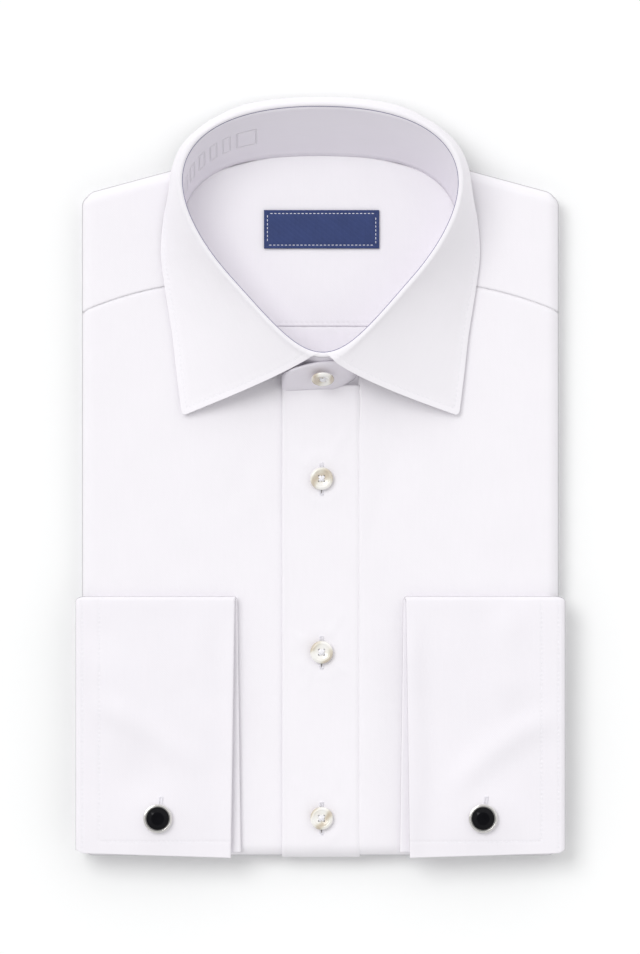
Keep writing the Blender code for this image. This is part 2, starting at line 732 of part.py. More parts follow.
def make_cufflinks(materials):
    seat = 1.2
    setting_profile = [(0.0, 0.0), (SETTING_R - 0.8, 0.0), (SETTING_R, 0.7), (SETTING_R, 1.2),
                       (SETTING_R - 0.35, 1.7), (SETTING_R - 0.7, 1.9), (SETTING_R - 0.9, 2.4),
                       (STONE_R + 0.45, 2.7), (STONE_R + GAP, 2.4), (STONE_R + GAP, seat),
                       (0.0, seat)]
    back = 1.0
    base = FRONT_TOP + GAP
    top = LINK_BASE - GAP
    post_profile = [(0.0, base), (4.6, base), (5.0, base + back / 2), (4.6, base + back),
                    (POST_R, base + back), (POST_R, top), (0.0, top)]
    for name, side in (("left", 1), ("right", -1)):
        x = side * CUFFLINK_X
        turned(f"cufflink_{name}_setting", setting_profile, materials["silver"], 36,
               (x, CUFFLINK_Y, LINK_BASE))
        turned(f"cufflink_{name}_stone", stone_profile(), materials["black_stone"], 12,
               (x, CUFFLINK_Y, LINK_BASE + seat + GAP), facets=True)
        turned(f"cufflink_{name}_post", post_profile, materials["silver"], 16,
               (x, CUFFLINK_Y, 0.0))


def make_buttons(materials):
    shell = materials["shell_button"]
    for i, y in enumerate(BUTTON_YS):
        make_button(f"front_button_{i + 1}", (BUTTON_X, y, PLACKET_TOP + GAP), 0.0, shell)
    front = stand_section(0.0, TAB_STEP, 0.0, 1.0)
    foot, top = Vector(front[0]), Vector(front[2])
    up = (top - foot).normalized()
    out = Vector((0.0, -up.z, up.y))
    place = foot.lerp(top, COLLAR_BUTTON_UP) + out * (STAND_CLOTH + GAP)
    make_button("collar_button", tuple(place), atan2(up.z, up.y), shell)


LABEL_WIDTH = 57.7
LABEL_HEIGHT = 19.3
LABEL_Y = 124.0
LABEL_X = 0.6


def make_label(materials):
    rows = [[(LABEL_X + sx * LABEL_WIDTH / 2, LABEL_Y + sy * LABEL_HEIGHT / 2,
              BACK_TOP + GAP + 1.0) for sx in (-1, 1)] for sy in (-1, 1)]
    return cloth_wall("neck_label", rows, materials["label_blue"], 1.0)


def main():
    clear_scene()
    materials = make_materials()
    make_folded_layers(materials)
    make_backs(materials)
    make_fronts_and_yokes(materials)
    make_placket(materials)
    make_stand(materials)
    make_collar(materials)
    make_cuffs(materials)
    make_sleeves(materials)
    make_buttons(materials)
    make_cufflinks(materials)
    make_label(materials)


main()
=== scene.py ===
# A folded long sleeve dress shirt with a stiff collar, turned-back cuffs and cufflinks.
# Sizes are in millimetres, left and right are the wearer's, +X is the wearer's left.
from math import atan2, ceil, cos, degrees, exp, floor, hypot, pi, radians, sin, sqrt

import bmesh
import bpy
from mathutils import Matrix, Vector, noise


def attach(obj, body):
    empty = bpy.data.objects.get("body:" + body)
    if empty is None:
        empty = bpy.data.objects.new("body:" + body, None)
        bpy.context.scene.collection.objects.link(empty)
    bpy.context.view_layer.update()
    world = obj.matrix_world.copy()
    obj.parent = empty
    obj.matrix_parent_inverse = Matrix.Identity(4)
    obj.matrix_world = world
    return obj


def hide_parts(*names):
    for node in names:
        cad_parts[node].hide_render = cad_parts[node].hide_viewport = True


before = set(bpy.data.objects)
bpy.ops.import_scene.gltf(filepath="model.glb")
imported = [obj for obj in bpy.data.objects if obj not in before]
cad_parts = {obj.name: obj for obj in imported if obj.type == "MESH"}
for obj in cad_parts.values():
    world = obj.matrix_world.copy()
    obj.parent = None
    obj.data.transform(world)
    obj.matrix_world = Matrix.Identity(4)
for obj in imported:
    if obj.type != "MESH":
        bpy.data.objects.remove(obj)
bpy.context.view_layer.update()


def smooth(low, high, value):
    share = min(max((value - low) / (high - low), 0.0), 1.0)
    return share * share * (3.0 - 2.0 * share)


def spread(low, high, count):
    return [low + (high - low) * i / (count - 1) for i in range(count)]


def mix(a, b, share):
    return a + (b - a) * share


def wave(x, y, size, seed):
    # soft even noise between -1 and 1, with a chosen size in mm
    return noise.noise(Vector((x / size, y / size, seed * 7.31)))


def creaseLift(creases, x, y):
    # Soft ridges (positive) and troughs (negative), each along a line that fades at its ends.
    lift = 0.0
    for crease in creases:
        ax, ay = crease["start"]
        bx, by = crease["end"]
        length = hypot(bx - ax, by - ay)
        ux, uy = (bx - ax) / length, (by - ay) / length
        along = (x - ax) * ux + (y - ay) * uy
        if along < -0.2 * length or along > 1.2 * length:
            continue
        across = (x - ax) * uy - (y - ay) * ux
        across += crease.get("bend", 0.0) * sin(pi * along / length)
        if abs(across) > 3.0 * crease["width"]:
            continue
        fade = smooth(-0.12, 0.25, along / length) * smooth(1.12, 0.7, along / length)
        lift += crease["height"] * fade * exp(-(across / crease["width"]) ** 2)
    return lift


def newObject(name, mesh, material):
    piece = bpy.data.objects.new(name, mesh)
    bpy.context.collection.objects.link(piece)
    mesh.materials.append(material)
    return piece


def meshPiece(name, points, faces, material, sharpAngle=40.0):
    mesh = bpy.data.meshes.new(name)
    mesh.from_pydata([Vector(p) * 0.001 for p in points], [], faces)
    mesh.validate()
    mesh.shade_smooth()
    mesh.set_sharp_from_angle(angle=radians(sharpAngle))
    piece = newObject(name, mesh, material)
    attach(piece, "root")
    return piece


def tubeFaces(faces, base, rings, size):
    # the faces of a tube whose points stand in rings, with a flat cap at each end
    for r in range(rings - 1):
        for c in range(size):
            a, b = base + r * size + c, base + r * size + (c + 1) % size
            faces.append((a, b, b + size, a + size))
    faces.append(tuple(base + k for k in reversed(range(size))))
    faces.append(tuple(base + (rings - 1) * size + k for k in range(size)))


def rowLengths(points):
    lengths = [0.0]
    for a, b in zip(points, points[1:]):
        lengths.append(lengths[-1] + (Vector(b) - Vector(a)).length)
    return lengths


def sheetArea(rows):
    total = 0.0
    for low, high in zip(rows, rows[1:]):
        for a, b, c, d in zip(low, low[1:], high[1:], high):
            diagonal = Vector(c) - Vector(a)
            total += ((Vector(b) - Vector(a)).cross(diagonal).length
                      + diagonal.cross(Vector(d) - Vector(a)).length) / 2
    return total


farFromSeam = 9.0  # mm, where no stitch line draws the cloth in


def noSeam(r, c, along, down):
    return along, farFromSeam


# A sheet of cloth from rows of points on its face, thickened to the other side.
# cut holds the cloth's own coordinates in mm, seam holds distance along and from a stitch line.
def clothSheet(name, rows, thickness, material, nodes, seam=noSeam,
               flat=None, flatTop=None, ways=None):
    width = len(rows[0])
    mesh = bpy.data.meshes.new(name)
    faces = []
    for r in range(len(rows) - 1):
        for c in range(width - 1):
            a = r * width + c
            faces.append((a, a + 1, a + width + 1, a + width))
    mesh.from_pydata([Vector(p) * 0.001 for row in rows for p in row], [], faces)
    across = [rowLengths(row) for row in rows]
    down = [rowLengths([row[c] for row in rows]) for c in range(width)]
    places = [[seam(r, c, across[r][c], down[c][r]) for c in range(width)]
              for r in range(len(rows))]
    cut = mesh.uv_layers.new(name="cut")
    for loop in mesh.loops:
        r, c = divmod(loop.vertex_index, width)
        if flatTop is None:
            cut.data[loop.index].uv = (across[r][c] - across[r][-1] / 2,
                                       ways[r] if ways else down[c][r])
        else:  # a mostly flat piece keeps the lie of its threads where its edges bend down
            x, y, z = rows[r][c]
            drop = max(flatTop - z, 0.0)
            cut.data[loop.index].uv = (x + drop * (1 if x > 0 else -1), y - drop)
    seamLayer = mesh.uv_layers.new(name="seam")
    for loop in mesh.loops:
        r, c = divmod(loop.vertex_index, width)
        seamLayer.data[loop.index].uv = places[r][c]
    mesh.shade_smooth()
    piece = newObject(name, mesh, material)
    wall = piece.modifiers.new("wall", 'SOLIDIFY')
    wall.thickness = thickness * 0.001
    wall.offset = -1.0
    wall.use_even_offset = True
    wall.use_quality_normals = True
    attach(piece, "root")
    if nodes:
        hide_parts(*nodes)
    if flat is None:
        flat = (max(a[-1] for a in across), max(d[-1] for d in down))
    area = min(sheetArea(rows), flat[0] * flat[1])
    return piece


def mirrored(rows):
    return [[(-x, y, z) for x, y, z in reversed(row)] for row in rows]


bothSides = (("Left", 1), ("Right", -1))
# shape of the folded shirt, shared by all its layers
shirt = dict(
    halfWidth=119.4, bottom=-189.4, shoulderTop=174.3, shoulderSlope=0.273, shoulderBlend=12.0,
    gap=0.3, edgeRadius=6.0, cloth=1.1,
    pileTop=10.0, placketLeft=18.9, placketRight=-19.2, placketEnd=46.0, yokeSeam=75.2,
    yokeMiddle=78.0, yokeHeight=95.3, yokeTilt=0.18, yokeBend=0.003,
)
backTop = shirt["pileTop"] + shirt["gap"] + shirt["cloth"]
frontTop = backTop + shirt["gap"] + shirt["cloth"]
placketTop = frontTop + shirt["gap"] + shirt["cloth"]


def shoulderY(x):
    return shirt["shoulderTop"] - shirt["shoulderSlope"] * hypot(x, shirt["shoulderBlend"])


def overEdge(side, end, radius):
    # where a point past the side and end bend lines lies once the cloth is folded over
    sideOut, endOut = max(side, 0.0), max(end, 0.0)
    reach = max(sideOut, endOut)
    if reach == 0.0:
        return side, end, 0.0
    length = hypot(sideOut, endOut)
    angle = reach / radius
    out = radius * sin(angle)
    newSide = side if side <= 0.0 else out * sideOut / length
    newEnd = end if end <= 0.0 else out * endOut / length
    return newSide, newEnd, radius * (1.0 - cos(angle))


def edgeSteps(radius, turn, count):
    return [radius * radians(turn) * i / count for i in range(1, count + 1)]


def yokeSeamY(x):
    out = abs(x) - shirt["yokeMiddle"]
    return shirt["yokeHeight"] - shirt["yokeTilt"] * out - shirt["yokeBend"] * out ** 2


neckAnchors = [  # half of the neck line in plan, from front middle to back middle
    dict(x=0.0, y=62.1, heading=0.0, reachIn=0.0, reachOut=13.0),
    dict(x=45.5, y=100.0, heading=48.5, reachIn=32.5, reachOut=14.0),
    dict(x=68.6, y=147.0, heading=90.0, reachIn=17.5, reachOut=18.8),
    dict(x=0.0, y=184.2, heading=180.0, reachIn=51.2, reachOut=0.0),
]
neckSkew = dict(share=0.014, level=145.0)  # the neck leans a little to one side
# One row for each section of the collar, from front end to back middle.
collarSections = [
    dict(share=0.006, lean=16.8, foot=14.6, roll=35.5, leafX=69.3, leafY=30.6, leafZ=15.3),
    dict(share=0.110, lean=18.0, foot=14.0, roll=36.3, leafX=71.8, leafY=50.5, leafZ=14.9),
    dict(share=0.200, lean=19.5, foot=13.2, roll=37.0, leafX=74.2, leafY=71.5, leafZ=14.7),
    dict(share=0.300, lean=20.5, foot=13.2, roll=37.8, leafX=77.9, leafY=95.0, leafZ=14.6),
    dict(share=0.400, lean=20.5, foot=13.2, roll=38.8, leafX=79.8, leafY=112.0, leafZ=14.6),
    dict(share=0.490, lean=20.5, foot=13.2, roll=39.8, leafX=78.6, leafY=128.5, leafZ=14.6),
    dict(share=0.570, lean=20.7, foot=13.0, roll=40.6, leafX=75.7, leafY=143.5, leafZ=14.6),
    dict(share=0.635, lean=21.0, foot=12.6, roll=41.2, leafX=73.2, leafY=156.0, leafZ=13.4),
    dict(share=0.705, lean=21.3, foot=12.5, roll=41.8, leafX=67.2, leafY=167.3, leafZ=9.5),
    dict(share=0.780, lean=21.8, foot=12.5, roll=42.3, leafX=55.2, leafY=177.6, leafZ=6.8),
    dict(share=0.870, lean=22.8, foot=12.5, roll=42.8, leafX=36.3, leafY=186.2, leafZ=5.2),
    dict(share=1.000, lean=23.4, foot=12.5, roll=43.0, leafX=0.0, leafY=189.4, leafZ=4.6),
]


def neckTable(steps=120):
    points = []
    for a, b in zip(neckAnchors, neckAnchors[1:]):
        start, stop = Vector((a["x"], a["y"])), Vector((b["x"], b["y"]))
        lead = Vector((cos(radians(a["heading"])), sin(radians(a["heading"]))))
        tail = Vector((cos(radians(b["heading"])), sin(radians(b["heading"]))))
        c0, c1 = start + lead * a["reachOut"], stop - tail * b["reachIn"]
        for i in range(steps + 1):
            t = i / steps
            point = (start * (1 - t) ** 3 + c0 * 3 * t * (1 - t) ** 2
                     + c1 * 3 * t * t * (1 - t) + stop * t ** 3)
            if not points or (point - points[-1]).length > 1e-6:
                points.append(point)
    travelled = [0.0]
    for a, b in zip(points, points[1:]):
        travelled.append(travelled[-1] + (b - a).length)
    return points, [t / travelled[-1] for t in travelled], travelled[-1]


neckPoints, neckShares, neckHalfLength = neckTable()


def neckHalf(share):
    share = min(max(share, 0.0), 1.0)
    low, high = 0, len(neckShares) - 1
    while high - low > 1:
        middle = (low + high) // 2
        if neckShares[middle] <= share:
            low = middle
        else:
            high = middle
    part = (share - neckShares[low]) / (neckShares[high] - neckShares[low])
    return neckPoints[low].lerp(neckPoints[high], part)


def neck(signedShare):
    point = neckHalf(abs(signedShare))
    x = point.x if signedShare >= 0 else -point.x
    return Vector((x + neckSkew["share"] * (neckSkew["level"] - point.y), point.y))


def neckNormal(signedShare):
    step = 0.01
    if abs(signedShare) + step > 1.0:
        return Vector((0.0, 1.0))
    along = neck(signedShare + step) - neck(signedShare - step)
    return Vector((along.y, -along.x)).normalized()


def section(share, name):
    rows = collarSections
    share = min(max(share, rows[0]["share"]), rows[-1]["share"])
    k = 0
    while k < len(rows) - 2 and share > rows[k + 1]["share"]:
        k += 1

    def slope(i):
        if i == len(rows) - 1 and name != "leafX":
            return 0.0
        a, b = rows[max(i - 1, 0)], rows[min(i + 1, len(rows) - 1)]
        return (b[name] - a[name]) / (b["share"] - a["share"])

    a, b = rows[k], rows[k + 1]
    span = b["share"] - a["share"]
    t = (share - a["share"]) / span
    return (a[name] * (1 + 2 * t) * (1 - t) ** 2 + slope(k) * span * t * (1 - t) ** 2
            + b[name] * t * t * (3 - 2 * t) + slope(k + 1) * span * t * t * (t - 1))


# One node group is made for each effect that several finishes share.
def makeGroup(name, inputs, outputs):
    group = bpy.data.node_groups.new(name, 'ShaderNodeTree')
    for label, kind, value in inputs:
        socket = group.interface.new_socket(name=label, in_out='INPUT', socket_type=kind)
        if value is not None:
            socket.default_value = value
    for label, kind in outputs:
        group.interface.new_socket(name=label, in_out='OUTPUT', socket_type=kind)
    start = group.nodes.new('NodeGroupInput')
    end = group.nodes.new('NodeGroupOutput')
    start.location, end.location = (-900, 0), (900, 0)
    return group, start, end


def addNode(tree, kind, x=0, y=0, **settings):
    node = tree.nodes.new(kind)
    node.location = (x, y)
    for key, value in settings.items():
        setattr(node, key, value)
    return node


def mathNode(tree, operation, a, b=None, c=None, x=0, y=0):
    node = addNode(tree, 'ShaderNodeMath', x, y, operation=operation)
    for socket, value in zip(node.inputs, (a, b, c)):
        if value is None:
            continue
        if isinstance(value, (int, float)):
            socket.default_value = value
        else:
            tree.links.new(value, socket)
    return node.outputs[0]


def weaveGroup():
    # Plain weave: threads pass over and under each other, with slubs along them.
    group, start, end = makeGroup(
        "shirtWeave",
        [("Cut", 'NodeSocketVector', None), ("Threads", 'NodeSocketFloat', 2400.0),
         ("Twill", 'NodeSocketFloat', 0.0)],
        [("Height", 'NodeSocketFloat'), ("Slub", 'NodeSocketFloat')])
    parts = addNode(group, 'ShaderNodeSeparateXYZ', -700, 0)
    group.links.new(start.outputs["Cut"], parts.inputs[0])
    across = mathNode(group, 'MULTIPLY', parts.outputs[0], start.outputs["Threads"], x=-520, y=120)
    down = mathNode(group, 'MULTIPLY', parts.outputs[1], start.outputs["Threads"], x=-520, y=-60)
    warp = mathNode(group, 'SINE', mathNode(group, 'MULTIPLY', across, pi), x=-200, y=140)
    weft = mathNode(group, 'SINE', mathNode(group, 'MULTIPLY', down, pi), x=-200, y=-20)
    plain = mathNode(group, 'MULTIPLY', warp, weft, x=0, y=60)
    diagonal = mathNode(group, 'ADD', across, mathNode(group, 'MULTIPLY', down, 1.3), x=-200,
                        y=-180)
    rib = mathNode(group, 'SINE', mathNode(group, 'MULTIPLY', diagonal, pi * 0.5), x=0, y=-160)
    blend = addNode(group, 'ShaderNodeMix', 300, 0)
    group.links.new(start.outputs["Twill"], blend.inputs[0])
    group.links.new(plain, blend.inputs[2])
    group.links.new(rib, blend.inputs[3])
    group.links.new(blend.outputs[0], end.inputs["Height"])
    stretch = addNode(group, 'ShaderNodeMapping', -520, -380)
    stretch.inputs["Scale"].default_value = (900.0, 60.0, 1.0)
    group.links.new(start.outputs["Cut"], stretch.inputs[0])
    slub = addNode(group, 'ShaderNodeTexNoise', -200, -380)
    slub.inputs["Scale"].default_value = 1.0
    slub.inputs["Detail"].default_value = 2.0
    group.links.new(stretch.outputs[0], slub.inputs["Vector"])
    group.links.new(slub.outputs[0], end.inputs["Slub"])
    return group


def puckerGroup():
    # Cloth drawn in along a stitch line, with a small hollow at each stitch.
    group, start, end = makeGroup(
        "seamPucker",
        [("Seam", 'NodeSocketVector', None), ("Pitch", 'NodeSocketFloat', 2.6),
         ("Width", 'NodeSocketFloat', 0.7)],
        [("Height", 'NodeSocketFloat')])
    parts = addNode(group, 'ShaderNodeSeparateXYZ', -700, 0)
    group.links.new(start.outputs["Seam"], parts.inputs[0])
    share = mathNode(group, 'DIVIDE', parts.outputs[1], start.outputs["Width"], x=-520, y=-80)
    square = mathNode(group, 'MULTIPLY', share, share, x=-360, y=-80)
    line = mathNode(group, 'EXPONENT', mathNode(group, 'MULTIPLY', square, -1.0), x=-200, y=-80)
    turn = mathNode(group, 'DIVIDE', parts.outputs[0], start.outputs["Pitch"], x=-520, y=120)
    beat = mathNode(group, 'SINE', mathNode(group, 'MULTIPLY', turn, 2 * pi), x=-200, y=120)
    depth = mathNode(group, 'MULTIPLY_ADD', beat, 0.3, -0.7, x=0, y=120)
    group.links.new(mathNode(group, 'MULTIPLY', depth, line, x=300, y=0), end.inputs["Height"])
    return group


def driftGroup():
    # Slow uneven change over a surface, for tone and for roughness.
    group, start, end = makeGroup(
        "toneDrift",
        [("Place", 'NodeSocketVector', None), ("Size", 'NodeSocketFloat', 30.0),
         ("Amount", 'NodeSocketFloat', 0.05), ("Middle", 'NodeSocketFloat', 1.0)],
        [("Value", 'NodeSocketFloat')])
    cloud = addNode(group, 'ShaderNodeTexNoise', -300, 0)
    cloud.inputs["Detail"].default_value = 3.0
    group.links.new(start.outputs["Place"], cloud.inputs["Vector"])
    group.links.new(mathNode(group, 'DIVIDE', 1.0, start.outputs["Size"], x=-520, y=-80),
                    cloud.inputs["Scale"])
    spreadOut = mathNode(group, 'SUBTRACT', cloud.outputs[0], 0.5, x=-80, y=0)
    scaled = mathNode(group, 'MULTIPLY', spreadOut, start.outputs["Amount"], x=120, y=0)
    group.links.new(mathNode(group, 'ADD', scaled, start.outputs["Middle"], x=320, y=0),
                    end.inputs["Value"])
    return group


weave, pucker, drift = weaveGroup(), puckerGroup(), driftGroup()


def useGroup(tree, group, x, y, **values):
    node = addNode(tree, 'ShaderNodeGroup', x, y)
    node.node_tree = group
    for label, value in values.items():
        if isinstance(value, (int, float)):
            node.inputs[label].default_value = value
        else:
            tree.links.new(value, node.inputs[label])
    return node


def newMaterial(name, slot, **sockets):
    material = bpy.data.materials.new(name)
    material.use_nodes = True
    material["slot"] = slot
    shader = material.node_tree.nodes["Principled BSDF"]
    for label, value in sockets.items():
        shader.inputs[label].default_value = value
    return material, material.node_tree, shader


def tintBy(tree, colour, value, shader):
    # multiply a colour by a slowly changing value
    tint = addNode(tree, 'ShaderNodeMix', -260, 220, data_type='RGBA', blend_type='MULTIPLY')
    tint.inputs[0].default_value = 1.0
    tint.inputs[6].default_value = (*colour, 1.0)
    tree.links.new(value, tint.inputs[7])
    tree.links.new(tint.outputs[2], shader.inputs["Base Color"])


def roughenBy(tree, shader, place, size, amount, middle):
    # roughness that drifts about a middle value
    rough = useGroup(tree, drift, -900, 500, Place=place, Size=size, Amount=amount,
                     Middle=middle)
    tree.links.new(rough.outputs[0], shader.inputs["Roughness"])


def bumpBy(tree, shader, height, strength, distance):
    bump = addNode(tree, 'ShaderNodeBump', -260, -160)
    bump.inputs["Strength"].default_value = strength
    bump.inputs["Distance"].default_value = distance
    tree.links.new(height, bump.inputs["Height"])
    tree.links.new(bump.outputs[0], shader.inputs["Normal"])


def easedRange(tree, value, low, high, toMax, x, y):
    # 1 below low, easing to toMax above high
    node = addNode(tree, 'ShaderNodeMapRange', x, y, interpolation_type='SMOOTHSTEP')
    numbers = {"From Min": low, "From Max": high, "To Min": 1.0, "To Max": toMax}
    for label, number in numbers.items():
        node.inputs[label].default_value = number
    tree.links.new(value, node.inputs["Value"])
    return node.outputs[0]


def colourRamp(tree, stops, x, y):
    node = addNode(tree, 'ShaderNodeValToRGB', x, y)
    elements = node.color_ramp.elements
    for i in (0, -1):
        elements[i].position = stops[i][0]
        elements[i].color = (*stops[i][1], 1.0)
    for position, colour in stops[1:-1]:
        elements.new(position).color = (*colour, 1.0)
    return node


# edgeShade is how dark the painted shade on steeply turned edges gets
clothLook = dict(
    cotton=dict(colour=(0.905, 0.882, 0.922), threads=2400.0, weaveHeight=0.00002, edgeShade=0.48,
                roughness=0.82, drift=0.035, driftSize=0.028, slub=0.02),
    # the stand's inner face: the same white cotton, its colour darkened as painted shade for the
    # shade inside the collar
    paintedShadeFacing=dict(colour=(0.845, 0.812, 0.875), threads=2400.0, weaveHeight=0.00002, edgeShade=0.48,
                roughness=0.84, drift=0.03, driftSize=0.02, slub=0.02),
    label=dict(colour=(0.030, 0.050, 0.160), threads=1150.0, weaveHeight=0.00008, edgeShade=0.8,
               roughness=0.62, drift=0.30, driftSize=0.010, slub=0.22),
)


def clothMaterial(name, slot, look, twill=0.0, seamPitch=2.6, seamWidth=0.75, seamDepth=0.16,
                  relief=None, edgeTone=1.0, edgeFrom=0.45):
    material, tree, shader = newMaterial(
        name, slot, **{"Specular IOR Level": 0.25, "Sheen Weight": 0.12, "Sheen Roughness": 0.6})
    cut = addNode(tree, 'ShaderNodeUVMap', -1500, 0, uv_map="cut")
    seam = addNode(tree, 'ShaderNodeUVMap', -1500, -400, uv_map="seam")
    metres = addNode(tree, 'ShaderNodeVectorMath', -1300, 0, operation='SCALE')
    metres.inputs["Scale"].default_value = 0.001
    tree.links.new(cut.outputs[0], metres.inputs[0])
    threads = useGroup(tree, weave, -1000, 0, Cut=metres.outputs[0], Threads=look["threads"],
                       Twill=twill)
    stitches = useGroup(tree, pucker, -1000, -400, Seam=seam.outputs[0], Pitch=seamPitch,
                        Width=seamWidth)
    tone = useGroup(tree, drift, -1000, 300, Place=metres.outputs[0], Size=look["driftSize"],
                    Amount=look["drift"])
    roughenBy(tree, shader, metres.outputs[0], size=look["driftSize"] * 0.6, amount=0.12,
              middle=look["roughness"])
    slubs = mathNode(tree, 'MULTIPLY_ADD', threads.outputs["Slub"], look["slub"],
                     1.0 - look["slub"] / 2, x=-700, y=200)
    value = mathNode(tree, 'MULTIPLY', slubs, tone.outputs[0], x=-500, y=220)
    if edgeTone < 1.0:  # the turned-in edge is thicker and whiter than the cloth inside it
        inward = addNode(tree, 'ShaderNodeSeparateXYZ', -1250, -550)
        tree.links.new(seam.outputs[0], inward.inputs[0])
        within = easedRange(tree, inward.outputs[1], low=-0.6, high=4.0, toMax=edgeTone,
                            x=-1000, y=-600)
        value = mathNode(tree, 'MULTIPLY', value, within, x=-380, y=260)
    # painted shade: the colour darkens where the cloth turns steeply down, standing in for shade on
    # the side walls and a thin dark outline at the edges
    lie = addNode(tree, 'ShaderNodeTexCoord', -1400, 800)
    upright = addNode(tree, 'ShaderNodeSeparateXYZ', -1200, 800)
    tree.links.new(lie.outputs["Normal"], upright.inputs[0])
    steepness = mathNode(tree, 'SUBTRACT', 1.0,
                         mathNode(tree, 'ABSOLUTE', upright.outputs[2], x=-1050, y=800),
                         x=-930, y=800)
    turned = easedRange(tree, steepness, low=edgeFrom, high=edgeFrom + 0.4,
                        toMax=look["edgeShade"], x=-800, y=800)
    value = mathNode(tree, 'MULTIPLY', value, turned, x=-300, y=400)
    tintBy(tree, look["colour"], value, shader)
    height = mathNode(tree, 'MULTIPLY', threads.outputs["Height"], look["weaveHeight"] * 1000,
                      x=-700, y=0)
    sunk = mathNode(tree, 'MULTIPLY', stitches.outputs["Height"], seamDepth, x=-700, y=-300)
    total = mathNode(tree, 'ADD', height, sunk, x=-500, y=-100)
    if relief:
        total = mathNode(tree, 'ADD', total, relief(tree, cut.outputs[0]), x=-400, y=-200)
    bumpBy(tree, shader, total, strength=0.8, distance=0.001)
    return material


cotton = clothMaterial("whiteCotton", "cloth_white", clothLook["cotton"])
labelCloth = clothMaterial("labelTwill", "label_blue", clothLook["label"], twill=0.7)


def threadMaterial(name, slot, colour, roughness=0.55):
    material, tree, shader = newMaterial(name, slot, **{"Specular IOR Level": 0.3})
    place = addNode(tree, 'ShaderNodeTexCoord', -1300, 0)
    ply = addNode(tree, 'ShaderNodeTexWave', -800, -200, bands_direction='DIAGONAL')
    ply.inputs["Scale"].default_value = 900.0
    tree.links.new(place.outputs["Object"], ply.inputs["Vector"])
    tone = useGroup(tree, drift, -900, 200, Place=place.outputs["Object"], Size=0.004, Amount=0.12)
    tintBy(tree, colour, tone.outputs[0], shader)
    roughenBy(tree, shader, place.outputs["Object"], size=0.003, amount=0.2, middle=roughness)
    bumpBy(tree, shader, ply.outputs[1], strength=0.4, distance=0.00006)
    return material


whiteThread = threadMaterial("whiteThread", "cloth_white", (0.90, 0.89, 0.93))
# dark thread colour for the buttonhole slits: painted shade in the cut
slitPaintedShade = threadMaterial("slitPaintedShade", "cloth_white", (0.30, 0.27, 0.27), 0.8)
# dark lavender thread along the neck fold: painted shade
neckFoldPaintedShade = threadMaterial("neckFoldPaintedShadeThread", "cloth_white", (0.20, 0.19, 0.33), 0.7)
labelThread = threadMaterial("labelThread", "label_blue", (0.80, 0.80, 0.86))


shellLook = dict(
    swirl={"Scale": 34.0, "Distortion": 7.0, "Detail": 2.5, "Detail Scale": 1.4},
    bands=((0.0, (0.60, 0.52, 0.41)), (0.22, (0.73, 0.68, 0.58)), (0.45, (0.86, 0.84, 0.77)),
           (0.72, (0.91, 0.88, 0.84)), (1.0, (0.93, 0.92, 0.89))),
)


def shellMaterial():
    # Mother of pearl: pale bands that swirl, with a faint warm and green play between them.
    material, tree, shader = newMaterial(
        "pearlShell", "shell_button",
        **{"IOR": 1.53, "Coat Weight": 0.6, "Coat Roughness": 0.08, "Specular IOR Level": 0.6})
    place = addNode(tree, 'ShaderNodeTexCoord', -1500, 0)
    turn = addNode(tree, 'ShaderNodeMapping', -1300, 0)
    turn.inputs["Rotation"].default_value = (0.3, 0.5, 0.8)
    tree.links.new(place.outputs["Object"], turn.inputs[0])
    swirl = addNode(tree, 'ShaderNodeTexWave', -1050, 100, wave_type='BANDS')
    for label, number in shellLook["swirl"].items():
        swirl.inputs[label].default_value = number
    tree.links.new(turn.outputs[0], swirl.inputs["Vector"])
    bands = colourRamp(tree, shellLook["bands"], -800, 100)
    tree.links.new(swirl.outputs[1], bands.inputs[0])
    tree.links.new(bands.outputs[0], shader.inputs["Base Color"])
    roughenBy(tree, shader, place.outputs["Object"], size=0.003, amount=0.15, middle=0.22)
    bumpBy(tree, shader, swirl.outputs[1], strength=0.15, distance=0.0001)
    return material


def metalMaterial(name, slot, colour, roughness):
    # Polished metal with fine turning marks and handling haze.
    material, tree, shader = newMaterial(name, slot, Metallic=1.0)
    place = addNode(tree, 'ShaderNodeTexCoord', -1300, 0)
    tone = useGroup(tree, drift, -900, 200, Place=place.outputs["Object"], Size=0.006, Amount=0.1)
    tintBy(tree, colour, tone.outputs[0], shader)
    roughenBy(tree, shader, place.outputs["Object"], size=0.0015, amount=0.16,
              middle=roughness)
    scratch = addNode(tree, 'ShaderNodeTexNoise', -700, -200)
    scratch.inputs["Scale"].default_value = 2500.0
    tree.links.new(place.outputs["Object"], scratch.inputs["Vector"])
    bumpBy(tree, shader, scratch.outputs[0], strength=0.12, distance=0.00005)
    return material


def stoneMaterial():
    # Black glassy stone, faint grey clouding inside, polished facets.
    material, tree, shader = newMaterial(
        "blackStone", "black_stone", **{"IOR": 1.5, "Specular IOR Level": 0.12})
    place = addNode(tree, 'ShaderNodeTexCoord', -1300, 0)
    tone = useGroup(tree, drift, -900, 200, Place=place.outputs["Object"], Size=0.003, Amount=0.9)
    tintBy(tree, (0.0045, 0.0045, 0.006), tone.outputs[0], shader)
    roughenBy(tree, shader, place.outputs["Object"], size=0.002, amount=0.06, middle=0.07)
    return material


pearl = shellMaterial()
silver = metalMaterial("polishedSilver", "silver", (0.82, 0.805, 0.785), 0.16)
stone = stoneMaterial()
print("materials made")


# hidden layers, folded behind the shirt, with their edges in layers
layers = dict(
    edges=[dict(low=0.9, high=2.7, inset=0.5), dict(low=4.6, high=6.4, inset=0.6),
           dict(low=6.6, high=10.0, inset=2.2)],
    groove=4.2, corner=8.0, unevenEdge=0.45, unevenSize=38.0, unevenFade=(4.0, 2.0),
    flapCorner=5.0, flapRound=0.42, flat=(0.449, 0.363), flatArea=0.157,
    underFolds=[  # what lies lowest: the two sides folded back
        dict(left=-118.6, right=-14.0, bottom=-186.0, top=140.0, high=0.86),
        dict(left=22.0, right=118.6, bottom=-186.0, top=140.0, high=0.86),
    ],
)


